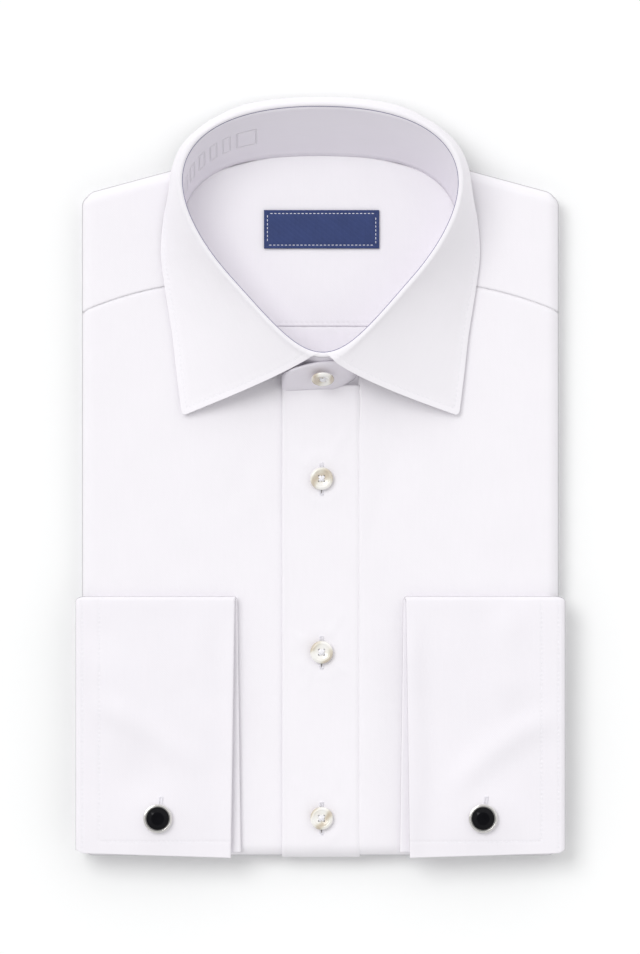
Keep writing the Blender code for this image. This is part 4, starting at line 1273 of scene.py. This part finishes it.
def cuffProfile(y, front):
    edge = handEdge(y, 1.0) * front + handEdge(y, 0.0) * (1.0 - front)
    radius = (cuffHalf - innerLevel) / 2
    flatStart = edge + cuff["handCurve"]
    line = [(x, innerLevel, 0.0) for x in spread(cuff["freeEnd"] - 0.3, flatStart, 16)]
    for turn in spread(-90.0, 90.0, 11):
        a = radians(turn)
        line.append((edge + radius * (1 - cos(a)), innerLevel + radius * (1 + sin(a)), 0.0))
    bend = cuff["side"] - cuff["sideRadius"]
    line += [(x, cuffHalf, 0.0) for x in spread(flatStart, bend, 44)]
    line += [(bend, cuffHalf, p) for p in edgeSteps(cuff["sideRadius"], 90.0, 8)]
    line += [(bend, cuffHalf, cuff["sideRadius"] * pi / 2 + p) for p in (1.2, 2.4)]
    return line


def cuffPoint(x, past, y, lift, front):
    radius = cuff["sideRadius"]
    angle = min(past / radius, pi / 2)
    bentX = x + radius * sin(angle)
    drop = radius * (1.0 - cos(angle)) + max(past - radius * pi / 2, 0.0)
    free = cuff["freeEnd"]
    flatX = free + 0.1 * (x - free) + 0.1 * past if x > free else x
    return bentX * front + flatX * (1.0 - front), y, cuffMiddle + lift - drop * front


def cuffRows(side):
    frontYs = [cuff["bottom"], cuff["bottom"] + 0.4, cuff["bottom"] + 1.2]
    frontYs += spread(cuff["bottom"] + 3.0, -92.0, 56) + spread(-90.0, cuff["top"] - 6.0, 12)
    foldY = cuff["top"] - cuffHalf
    rows = []

    def add(y, front, tilt):
        row = []
        for x, level, past in cuffProfile(y, front):
            px, py, pz = cuffPoint(x, past, y + level * cos(tilt), level * sin(tilt), front)
            if front > 0.99 and y < cuff["slopeTop"]:
                share = (px - cuff["slopeFrom"]) / cuff["slopeWidth"]
                py += cuff["slope"] * share * smooth(cuff["slopeTop"], cuff["bottom"], y)
                py += (cuff["cornerUp"] * smooth(cuff["cornerFrom"], cuff["side"], px)
                       * smooth(cuff["cornerTop"], cuff["bottom"], y))
            opened = cuff["edgeLift"] * exp(-((x - cuff["edgeLiftX"])
                                              / cuff["edgeLiftReach"]) ** 2)
            start, full = cuff["edgeLiftFade"]
            pz += opened * front * smooth(cuff["top"] - start, cuff["top"] - full, y)
            row.append((px, py, pz + cuffLift(px, py, side)))
        rows.append(row)

    for y in frontYs:
        add(y, 1.0, pi / 2)
    for turn in spread(90.0, -90.0, 13):
        add(foldY, (1.0 + sin(radians(turn))) / 2, radians(turn))
    for y in reversed(frontYs):
        add(y + cuff["stepUp"] * smooth(cuff["stepTop"], cuff["bottom"], y), 0.0, -pi / 2)
    return rows


def makeCuffs():
    for name, side in bothSides:
        rows = cuffRows(side)
        flat = [[(x, y) for x, y, z in row] for row in rows]
        stitches = cuff["stitches"]

        def seam(r, c, along, down, flat=flat, side=side, rows=rows):
            column = c if side > 0 else len(rows[0]) - 1 - c
            x, y = flat[r][column]
            inside = min(stitches["side"] - x, y - stitches["bottom"])
            if x > (stitches["side"] + stitches["outer"]) / 2:
                inside = x - stitches["outer"]
            if r >= cuff["frontRows"]:
                inside = farFromSeam
            if stitches["side"] - x < y - stitches["bottom"]:
                return y, inside
            return stitches["bottom"] - stitches["side"] + x, inside

        clothSheet("cuff" + name, mirrored(rows) if side < 0 else rows, cuff["thickness"],
                   cuffPaintedShadeCotton, ["cuff_" + name.lower()],
                   seam=seam)


sleeve = dict(thickness=0.8, tuck=2.1, low=5.2, underTuck=1.4, sway=0.35, swaySize=22.0,
              mostOut=0.15, lower=0.2)


def makeSleeves():
    outer = cuff["edgeRadius"] - cuff["cloth"] - cuff["gap"]
    centreX = cuff["side"] - cuff["edgeRadius"]
    centreZ = cuffMiddle + cuffHalf - cuff["edgeRadius"]
    tuck, lowZ = sleeve["tuck"], sleeve["low"]
    profile = [(cuff["freeEnd"] + 0.3, centreZ + outer)]
    profile += [(centreX + outer * cos(radians(a)), centreZ + outer * sin(radians(a)))
                for a in spread(90.0, 0.0, 14)]
    profile += [(centreX + outer, mix(centreZ, lowZ, t)) for t in (0.25, 0.5, 0.75)]
    profile += [(centreX + outer - tuck * (1 - cos(radians(a))), lowZ + tuck * sin(radians(a)))
                for a in spread(0.0, -90.0, 10)]
    profile += [(shirt["halfWidth"] - layers["groove"] + sleeve["underTuck"], lowZ - tuck)]
    for name, side in bothSides:
        rows = []
        for y in spread(cuff["top"] - 5.0, shirt["bottom"] + 3.5, 90):
            row = []
            for i, (x, z) in enumerate(profile):
                ripple = wave(y, z * 3, sleeve["swaySize"], 71 + side)
                sway = sleeve["sway"] * ripple * smooth(2, 12, i) - sleeve["lower"]
                row.append((x + min(sway, sleeve["mostOut"]), y, z))
            rows.append(list(reversed(row)))
        if side < 0:
            rows = mirrored(rows)
        clothSheet("sleeve" + name, rows, sleeve["thickness"], cotton, ["sleeve_" + name.lower()])


def gridNormal(rows, r, c):
    r0, r1 = max(r - 1, 0), min(r + 1, len(rows) - 1)
    c0, c1 = max(c - 1, 0), min(c + 1, len(rows[0]) - 1)
    down = Vector(rows[r1][c]) - Vector(rows[r0][c])
    across = Vector(rows[r][c1]) - Vector(rows[r][c0])
    normal = across.cross(down)
    return normal.normalized() if normal.length > 1e-9 else Vector((0, 0, 1))


def lineOnGrid(rows, places):
    # places are (row, column) pairs that may lie between grid points
    line = []
    for r, c in places:
        r = min(max(r, 0.0), len(rows) - 1.001)
        c = min(max(c, 0.0), len(rows[0]) - 1.001)
        i, j = int(r), int(c)
        a = Vector(rows[i][j]).lerp(Vector(rows[i][j + 1]), c - j)
        b = Vector(rows[i + 1][j]).lerp(Vector(rows[i + 1][j + 1]), c - j)
        line.append((a.lerp(b, r - i), gridNormal(rows, i, j)))
    return line


def resample(line, pitch, skipEnds=0.5):
    # evenly spaced points with direction and normal along a line
    travelled = [0.0]
    for a, b in zip(line, line[1:]):
        travelled.append(travelled[-1] + (b[0] - a[0]).length)
    count = int((travelled[-1] - 2 * skipEnds) / pitch)
    made, k = [], 0
    for i in range(count):
        way = skipEnds + pitch * (i + 0.5)
        while k < len(line) - 2 and travelled[k + 1] < way:
            k += 1
        part = (way - travelled[k]) / max(travelled[k + 1] - travelled[k], 1e-9)
        place = line[k][0].lerp(line[k + 1][0], part)
        along = (line[k + 1][0] - line[k][0]).normalized()
        made.append((place, along, line[k][1].lerp(line[k + 1][1], part).normalized()))
    return made


beadSides = 6
beadStations = ((-0.5, 0.25), (-0.36, 0.8), (0.0, 1.0), (0.36, 0.8), (0.5, 0.25))


def addBead(points, faces, place, along, normal, length, width, height):
    # one stitch: a plump thread, thin at its ends where it goes into the cloth
    across = normal.cross(along).normalized()
    tubeFaces(faces, len(points), len(beadStations), beadSides)
    for share, size in beadStations:
        for k in range(beadSides):
            a = 2 * pi * k / beadSides
            point = (place + along * (length * share)
                     + across * (width / 2 * size * cos(a))
                     + normal * (height * size * (0.5 + 0.5 * sin(a)) - height * 0.35))
            points.append(tuple(point))


def stitchPiece(name, lines, material, pitch=2.6, length=2.0, width=0.34, height=0.24):
    points, faces = [], []
    for line in lines:
        for place, along, normal in resample(line, pitch):
            addBead(points, faces, place, along, normal, length, width, height)
    piece = meshPiece(name, points, faces, material, sharpAngle=60.0)


def collarStitchLines(rows):
    # one line inside the front edges, round the points and along the fall's outer edge
    inside = collar["stitchIn"]
    last = len(rows) - 1

    def columnAt(r):
        lengths = rowLengths(rows[r])
        target = lengths[-1] - inside
        for c in range(len(lengths) - 1, 0, -1):
            if lengths[c - 1] <= target:
                return c - 1 + (target - lengths[c - 1]) / (lengths[c] - lengths[c - 1])
        return 0.0

    def rowAt(edge, c, step):
        before, beforeRow = 0.0, edge
        r = edge
        while 0 <= r + step <= last:
            r += step
            gap = frontGap(rows[edge], rows[r][c])
            if gap >= inside:
                return mix(beforeRow, r, (inside - before) / max(gap - before, 1e-9))
            before, beforeRow = gap, r
        return r

    corner = int(columnAt(2))
    frontStart = [(rowAt(0, c, 1), c) for c in range(9, corner + 1)]
    frontEnd = [(rowAt(last, c, -1), c) for c in range(corner, 8, -1)]
    startRow, endRow = ceil(frontStart[-1][0]), floor(frontEnd[0][0])
    outer = [(r, columnAt(r)) for r in range(startRow, endRow + 1)]
    return lineOnGrid(rows, frontStart + outer + frontEnd)


def cuffLine(side, points, count=60):
    # a line of places on the front layer of a cuff
    line = []
    for (ax, ay), (bx, by) in zip(points, points[1:]):
        for t in spread(0.0, 1.0, count):
            x, y = mix(ax, bx, t), mix(ay, by, t)
            bend = cuff["side"] - cuff["sideRadius"]
            normal = Vector((0, 0, 1))
            z = cuffMiddle + cuffHalf
            px = x
            if x > bend:
                angle = (x - bend) / cuff["sideRadius"]
                px = bend + cuff["sideRadius"] * sin(angle)
                z -= cuff["sideRadius"] * (1 - cos(angle))
                normal = Vector((sin(angle) * side, 0, cos(angle)))
            line.append((Vector((px * side, y, z + cuffLift(px, y, side))), normal))
    return line


def turnedPiece(name, profile, material, nodes, place, tilt=0.0, sides=72, sharp=30.0):
    points, faces, rings = [], [], []
    for radius, z in profile:
        if radius == 0.0:
            rings.append([len(points)])
            points.append((0.0, 0.0, z))
            continue
        rings.append(list(range(len(points), len(points) + sides)))
        points += [(radius * cos(2 * pi * i / sides), radius * sin(2 * pi * i / sides), z)
                   for i in range(sides)]
    for a, b in zip(rings, rings[1:]):
        for i in range(sides):
            j = (i + 1) % sides
            if len(a) == 1:
                faces.append((a[0], b[j], b[i]))
            elif len(b) == 1:
                faces.append((a[i], a[j], b[0]))
            else:
                faces.append((a[i], a[j], b[j], b[i]))
    turn = Matrix.Rotation(tilt, 3, 'X')
    points = [tuple(turn @ Vector(p) + Vector(place)) for p in points]
    piece = meshPiece(name, points, faces, material, sharp)
    recalculate(piece)
    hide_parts(*nodes)
    return piece


def recalculate(piece):
    bm = bmesh.new()
    bm.from_mesh(piece.data)
    bmesh.ops.recalc_face_normals(bm, faces=bm.faces)
    bm.to_mesh(piece.data)
    bm.free()


def buttonProfile():
    radius, height = buttons["radius"], buttons["height"]
    rim = [(0.0, 0.0), (3.6, 0.0), (radius - 0.5, 0.5)]
    rim += [(radius - 0.55 + 0.55 * cos(radians(a)), 1.25 + 0.75 * sin(radians(a)))
            for a in spread(-60.0, 80.0, 8)]
    rim += [(radius - 0.9, height - 0.06), (radius - 1.3, height), (radius - 1.7, height - 0.12)]
    dish = [(mix(radius - 1.9, 0.6, t), mix(height - 0.3, 1.42, smooth(0.0, 0.75, t)))
            for t in spread(0.0, 1.0, 9)]
    return rim + dish + [(0.0, 1.42)]


def makeButton(name, node, place, tilt):
    # a turned button, drilled with four holes, and the thread that holds it
    button = turnedPiece(name, buttonProfile(), pearl, [node], place, tilt)
    turn = Matrix.Rotation(tilt, 3, 'X')
    step = buttons["holeStep"]
    drills = bmesh.new()
    for sx, sy in ((1, 1), (-1, 1), (-1, -1), (1, -1)):
        centre = turn @ Vector((sx * step, sy * step, 1.2)) + Vector(place)
        matrix = Matrix.Translation(centre * 0.001) @ turn.to_4x4()
        bmesh.ops.create_cone(drills, cap_ends=True, segments=20, matrix=matrix,
                              radius1=buttons["holeRadius"] * 0.001,
                              radius2=buttons["holeRadius"] * 0.001, depth=0.004)
    mesh = bpy.data.meshes.new(name + "Drill")
    drills.to_mesh(mesh)
    drills.free()
    drill = bpy.data.objects.new(name + "Drill", mesh)
    bpy.context.collection.objects.link(drill)
    cut = button.modifiers.new("holes", 'BOOLEAN')
    cut.object, cut.solver = drill, 'EXACT'
    dg = bpy.context.evaluated_depsgraph_get()
    button.data = bpy.data.meshes.new_from_object(button.evaluated_get(dg))
    button.modifiers.clear()
    bpy.data.objects.remove(drill)
    points, faces = [], []
    foot, sunk = buttons["threadFoot"], Vector((0, 0, -buttons["threadIn"]))
    shoulder = Vector((0, 0, buttons["threadShoulder"]))
    # two crossing bars of thread, three strands each
    for cross, rise in ((1, 0.0), (-1, buttons["crossRise"])):
        arch = Vector((0, 0, buttons["threadArch"] + rise))
        for strand in buttons["strands"]:
            aside = Vector((-strand * cross, strand, 0.0))
            start = Vector((-step, -step * cross, foot)) + aside
            stop = Vector((step, step * cross, foot)) + aside
            inward = (stop - start) * 0.09
            path = [start + sunk, start, start + inward + shoulder,
                    start.lerp(stop, 0.5) + arch, stop - inward + shoulder, stop, stop + sunk]
            addTube(points, faces, path, buttons["strandRadius"])
    points = [tuple(turn @ Vector(p) + Vector(place)) for p in points]
    thread = meshPiece(name + "Thread", points, faces, whiteThread, sharpAngle=60.0)


def addTube(points, faces, path, radius, sides=8):
    tubeFaces(faces, len(points), len(path), sides)
    for i, place in enumerate(path):
        along = (path[min(i + 1, len(path) - 1)] - path[max(i - 1, 0)]).normalized()
        side = along.cross(Vector((0.3, 1.0, 0.2))).normalized()
        up = side.cross(along).normalized()
        for k in range(sides):
            a = 2 * pi * k / sides
            points.append(tuple(place + side * radius * cos(a) + up * radius * sin(a)))


buttonhole = dict(length=17.2, width=2.5, pitch=0.42, threadWidth=0.42, threadHeight=0.85,
                  barLength=0.9, slitRadius=0.15, slitUp=0.10, sink=0.1, cuffOut=0.6, cuffUp=3.0,
                  cuffTurn=-9.0)


def buttonholePiece(name, centres, surface):
    # satin stitches either side of a slit, with a bar at each end
    points, faces = [], []
    for x, y, angle in centres:
        along = Vector((-sin(angle), cos(angle), 0.0))
        across = Vector((cos(angle), sin(angle), 0.0))
        half = buttonhole["length"] / 2
        count = int(buttonhole["length"] / buttonhole["pitch"])
        for i in range(count):
            way = -half + buttonhole["pitch"] * (i + 0.5)
            atEnd = half - abs(way) < buttonhole["barLength"]
            for side in ((0,) if atEnd else (-1, 1)):
                spot = Vector((x, y, 0)) + along * way + across * side * buttonhole["width"] * 0.27
                spot.z = surface(spot.x, spot.y)
                length = buttonhole["width"] if atEnd else buttonhole["width"] * 0.46
                addBead(points, faces, spot, across, Vector((0, 0, 1)), length,
                        buttonhole["threadWidth"], buttonhole["threadHeight"])
    piece = meshPiece(name, points, faces, whiteThread, sharpAngle=60.0)
    # the slit is drawn as a thin dark thread: painted shade for the dark gap of the cut
    points, faces = [], []
    for x, y, angle in centres:  # the cut between the two rows
        along = Vector((-sin(angle), cos(angle), 0.0))
        path = []
        for t in spread(-0.43, -0.1, 12):
            spot = Vector((x, y, 0)) + along * buttonhole["length"] * t
            spot.z = surface(spot.x, spot.y) + buttonhole["slitUp"]
            path.append(spot)
        addTube(points, faces, path, buttonhole["slitRadius"], 6)
    slit = meshPiece(name + "Slit", points, faces, slitPaintedShade, sharpAngle=60.0)


cufflink = dict(settingRadius=7.25, stoneRadius=5.7, tableRadius=3.3, seat=1.2, facets=12)
linkBase = cuffMiddle + cuffHalf + cuff["swell"] + shirt["gap"]


def makeCufflinks():
    rim = cufflink["settingRadius"]
    stoneRim = cufflink["stoneRadius"]
    profile = [(0.0, 0.0), (rim - 0.9, 0.0)]
    profile += [(rim - 0.6 + 0.6 * cos(radians(a)), 0.6 + 0.6 * sin(radians(a)))
                for a in spread(-80.0, 0.0, 5)]
    profile += [(rim - 0.5 + 0.5 * cos(radians(a)), 1.35 + 0.5 * sin(radians(a)))
                for a in spread(0.0, 90.0, 6)]
    profile += [(rim - 0.72, 1.72), (rim - 0.80, 1.70), (rim - 0.88, 1.78)]
    profile += [(stoneRim + 0.62 + 0.26 * cos(radians(a)), 2.42 + 0.28 * sin(radians(a)))
                for a in spread(0.0, 180.0, 9)]
    profile += [(stoneRim + 0.32, 2.1), (stoneRim + 0.32, 1.2), (0.0, 1.2)]
    for name, side in bothSides:
        place = (side * cuff["linkX"], cuff["linkY"], linkBase)
        turnedPiece("cufflinkSetting" + name, profile, silver,
                    [f"cufflink_{name.lower()}_setting"], place, sides=120)
        makeStone(name, (place[0], place[1], linkBase + cufflink["seat"] + shirt["gap"]))
        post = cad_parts[f"cufflink_{name.lower()}_post"]
        for i in range(len(post.material_slots)):
            post.material_slots[i].material = silver


def makeStone(name, place):
    # cut stone: girdle, a ring of kite facets and a flat table
    count = cufflink["facets"]
    outer = cufflink["stoneRadius"]
    points = [(0.0, 0.0, 0.0)]
    rings = [(outer - 0.3, 0.0, 0.0, count * 2), (outer, 0.5, 0.0, count * 2),
             (outer - 0.1, 0.75, 0.0, count * 2), (outer * 0.79, 1.55, 0.5, count),
             (cufflink["tableRadius"], 2.15, 0.0, count)]
    starts = []
    for radius, z, shift, sides in rings:
        starts.append(len(points))
        for i in range(sides):
            a = 2 * pi * (i + shift) / sides
            points.append((radius * cos(a), radius * sin(a), z))
    faces = []
    low, mid, top, kite, table = starts
    double = count * 2
    for i in range(double):
        j = (i + 1) % double
        faces.append((0, low + j, low + i))
        faces.append((low + i, low + j, mid + j, mid + i))
        faces.append((mid + i, mid + j, top + j, top + i))
    for i in range(count):
        j = (i + 1) % count
        before = (i - 1) % count
        faces.append((top + 2 * i, top + (2 * i + 1) % double, kite + i))
        faces.append((top + (2 * i + 1) % double, top + (2 * i + 2) % double, kite + i))
        faces.append((kite + before, top + 2 * i, kite + i, table + i))
        faces.append((table + i, kite + i, table + j))
    faces.append(tuple(table + i for i in range(count)))
    points = [tuple(Vector(p) + Vector(place)) for p in points]
    piece = meshPiece("cufflinkStone" + name, points, faces, stone, sharpAngle=1.0)
    recalculate(piece)
    for polygon in piece.data.polygons:
        polygon.use_smooth = False
    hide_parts(f"cufflink_{name.lower()}_stone")


# woven label, left blank
label = dict(width=57.7, height=19.3, x=0.6, y=124.0, thickness=0.55, stitchIn=1.75,
             lift=0.7, stitchSink=0.16, edgeSink=0.12, puff=0.16, sway=0.14, swaySize=12.0)


def denseEnds(low, high, count):
    # even steps, with closer ones at both ends for an edge
    return ([low, low + 0.2, low + 0.6] + spread(low + 1.2, high - 1.2, count)
            + [high - 0.6, high - 0.2, high])


def makeLabel():
    left, bottom = label["x"] - label["width"] / 2, label["y"] - label["height"] / 2
    right, upper = left + label["width"], bottom + label["height"]
    top = backTop + shirt["gap"] + label["lift"]

    def level(x, y):
        fromEdge = min(x - left, right - x, y - bottom, upper - y)
        stitched = exp(-((fromEdge - label["stitchIn"]) / 0.7) ** 2)
        lift = -label["stitchSink"] * stitched
        lift -= label["edgeSink"] * (1.0 - smooth(0.0, 0.5, fromEdge))
        lift += label["puff"] * smooth(1.8, 5.0, fromEdge)
        return top + lift + label["sway"] * wave(x, y, label["swaySize"], 81)

    ys = denseEnds(bottom, upper, 34)
    xs = denseEnds(left, right, 96)
    rows = [[(x, y, level(x, y)) for x in xs] for y in ys]

    def seam(r, c, along, down):
        x, y = xs[c], ys[r]
        choices = [(y, min(x - left, right - x) - label["stitchIn"]),
                   (x, min(y - bottom, upper - y) - label["stitchIn"])]
        return min(choices, key=lambda item: item[1])

    clothSheet("neckLabel", rows, label["thickness"], labelCloth, ["neck_label"],
               seam=seam)
    inside = label["stitchIn"]
    corners = [(left + inside, bottom + inside), (right - inside, bottom + inside),
               (right - inside, upper - inside), (left + inside, upper - inside)]
    lines = []
    for (ax, ay), (bx, by) in zip(corners, corners[1:] + corners[:1]):
        line = []
        for t in spread(0.0, 1.0, 60):
            x, y = mix(ax, bx, t), mix(ay, by, t)
            line.append((Vector((x, y, level(x, y))), Vector((0, 0, 1))))
        lines.append(line)
    stitchPiece("neckLabelStitches", lines, labelThread, pitch=1.95, length=1.35, width=0.36,
                height=0.26)


def makeCuffStitches():
    seams = cuff["stitches"]
    top = cuff["top"] - seams["topIn"]
    for name, side in bothSides:
        lines = [[(seams["side"], top), (seams["side"], seams["bottom"])],
                 [(seams["outer"], top), (seams["outer"], seams["outerEnd"])],
                 [(seams["handEnd"], seams["bottom"] - seams["handDrop"]),
                  (seams["side"] - seams["cornerIn"], seams["bottom"])]]
        stitchPiece("cuffStitches" + name, [cuffLine(side, line) for line in lines], whiteThread)


def makeCollarButton():
    front = standSection(0.0, collar["tabStep"], 0.0, 1.0)
    foot, high = Vector(front[0]), Vector(front[-1])
    up = (high - foot).normalized()
    out = Vector((0.0, -up.z, up.y))
    place = foot.lerp(high, collar["buttonUp"]) + out * collar["buttonOut"]
    makeButton("collarButton", "collar_button", tuple(place), atan2(up.z, up.y))


def makeButtonholes():
    buttonholePiece("placketButtonholes", [(buttons["x"], y, 0.0) for y in buttons["ys"]],
                    lambda x, y: placketTop - buttonhole["sink"])
    for name, side in bothSides:
        place = (side * cuff["linkX"] + buttonhole["cuffOut"],
                 cuff["linkY"] + buttonhole["cuffUp"], radians(buttonhole["cuffTurn"]))
        buttonholePiece("cuffButtonhole" + name, [place],
                        lambda x, y, side=side: cuffMiddle + cuffHalf + cuffLift(x, y, side))


def makeShirt():
    makeHiddenLayers()
    makeBacks()
    makeFronts()
    print("body made")
    makePlacket()
    makeStand()
    makeNeckEdge()
    collarGrid = makeCollar()
    stitchPiece("collarStitches", [collarStitchLines(collarGrid)], whiteThread, pitch=2.4,
                length=1.9, width=0.3, height=0.2)
    print("placket and collar made")
    makeCuffs()
    makeSleeves()
    makeCuffStitches()
    print("cuffs and sleeves made")
    for i, y in enumerate(buttons["ys"]):
        makeButton(f"frontButton{i + 1}", f"front_button_{i + 1}",
                   (buttons["x"], y, placketTop + shirt["gap"]), 0.0)
    makeCollarButton()
    makeButtonholes()
    makeCufflinks()
    makeLabel()
    print("buttons, cufflinks and label made")


makeShirt()


studio = dict(floorSize=2.4, world=0.885, north=0.22, east=0.10, sunStrength=1.10, sunAngle=34.0,
              sunFrom=(-0.42, 0.38, 0.82), cameraHeight=4.0, viewHeight=0.477, focusLevel=0.014,
              skyLevels=((0.0, 0.55), (0.2, 0.85), (0.45, 1.05), (0.8, 0.95), (0.93, 0.60),
                         (0.985, 0.30)))


def makeFloor():
    half = studio["floorSize"] / 2
    mesh = bpy.data.meshes.new("floor")
    mesh.from_pydata([(-half, -half, 0), (half, -half, 0), (half, half, 0), (-half, half, 0)],
                     [], [(0, 1, 2, 3)])
    material, tree, shader = newMaterial("paperFloor", "floor", Roughness=0.9,
                                         **{"Specular IOR Level": 0.1})
    place = addNode(tree, 'ShaderNodeTexCoord', -1300, 0)
    tone = useGroup(tree, drift, -900, 200, Place=place.outputs["Object"], Size=0.3, Amount=0.004)
    tintBy(tree, (0.975, 0.98, 0.98), tone.outputs[0], shader)
    floorPiece = newObject("floor", mesh, material)
    floorPiece.location.z = -0.0002


def makeStudio():
    makeFloor()
    scene = bpy.context.scene
    world = bpy.data.worlds.new("studio")
    scene.world = world
    world.use_nodes = True
    sky = world.node_tree
    place = addNode(sky, 'ShaderNodeTexCoord', -900, 0)
    parts = addNode(sky, 'ShaderNodeSeparateXYZ', -700, 0)
    sky.links.new(place.outputs["Generated"], parts.inputs[0])
    # soft boxes all round, dimmer low down and overhead
    ring = colourRamp(sky, [(height, (level,) * 3) for height, level in studio["skyLevels"]],
                      -500, 0)
    sky.links.new(parts.outputs[2], ring.inputs[0])
    sky.links.new(ring.outputs[0], sky.nodes["Background"].inputs[0])
    north = mathNode(sky, 'MULTIPLY', parts.outputs[1], studio["north"] * studio["world"],
                     x=-500, y=-300)
    east = mathNode(sky, 'MULTIPLY', parts.outputs[0], studio["east"] * studio["world"],
                    x=-500, y=-450)
    level = mathNode(sky, 'ADD', mathNode(sky, 'ADD', north, east, x=-350, y=-350),
                     studio["world"], x=-200, y=-300)
    sky.links.new(level, sky.nodes["Background"].inputs[1])
    lamp = bpy.data.lights.new("window", 'SUN')
    lamp.energy = studio["sunStrength"]
    lamp.angle = radians(studio["sunAngle"])
    window = bpy.data.objects.new("window", lamp)
    window.rotation_mode = 'QUATERNION'
    window.rotation_quaternion = Vector(studio["sunFrom"]).to_track_quat('Z', 'Y')
    window.location = Vector(studio["sunFrom"])
    bpy.context.collection.objects.link(window)
    camera = bpy.data.cameras.new("camera")
    camera.lens = camera.sensor_width * studio["cameraHeight"] / studio["viewHeight"]
    camera.clip_end = 20.0
    holder = bpy.data.objects.new("camera", camera)
    holder.location = (-0.0002, 0.0001, studio["cameraHeight"] + studio["focusLevel"])
    bpy.context.collection.objects.link(holder)
    scene.camera = holder
    scene.view_settings.view_transform = 'Standard'


makeStudio()
print("shirt ready")
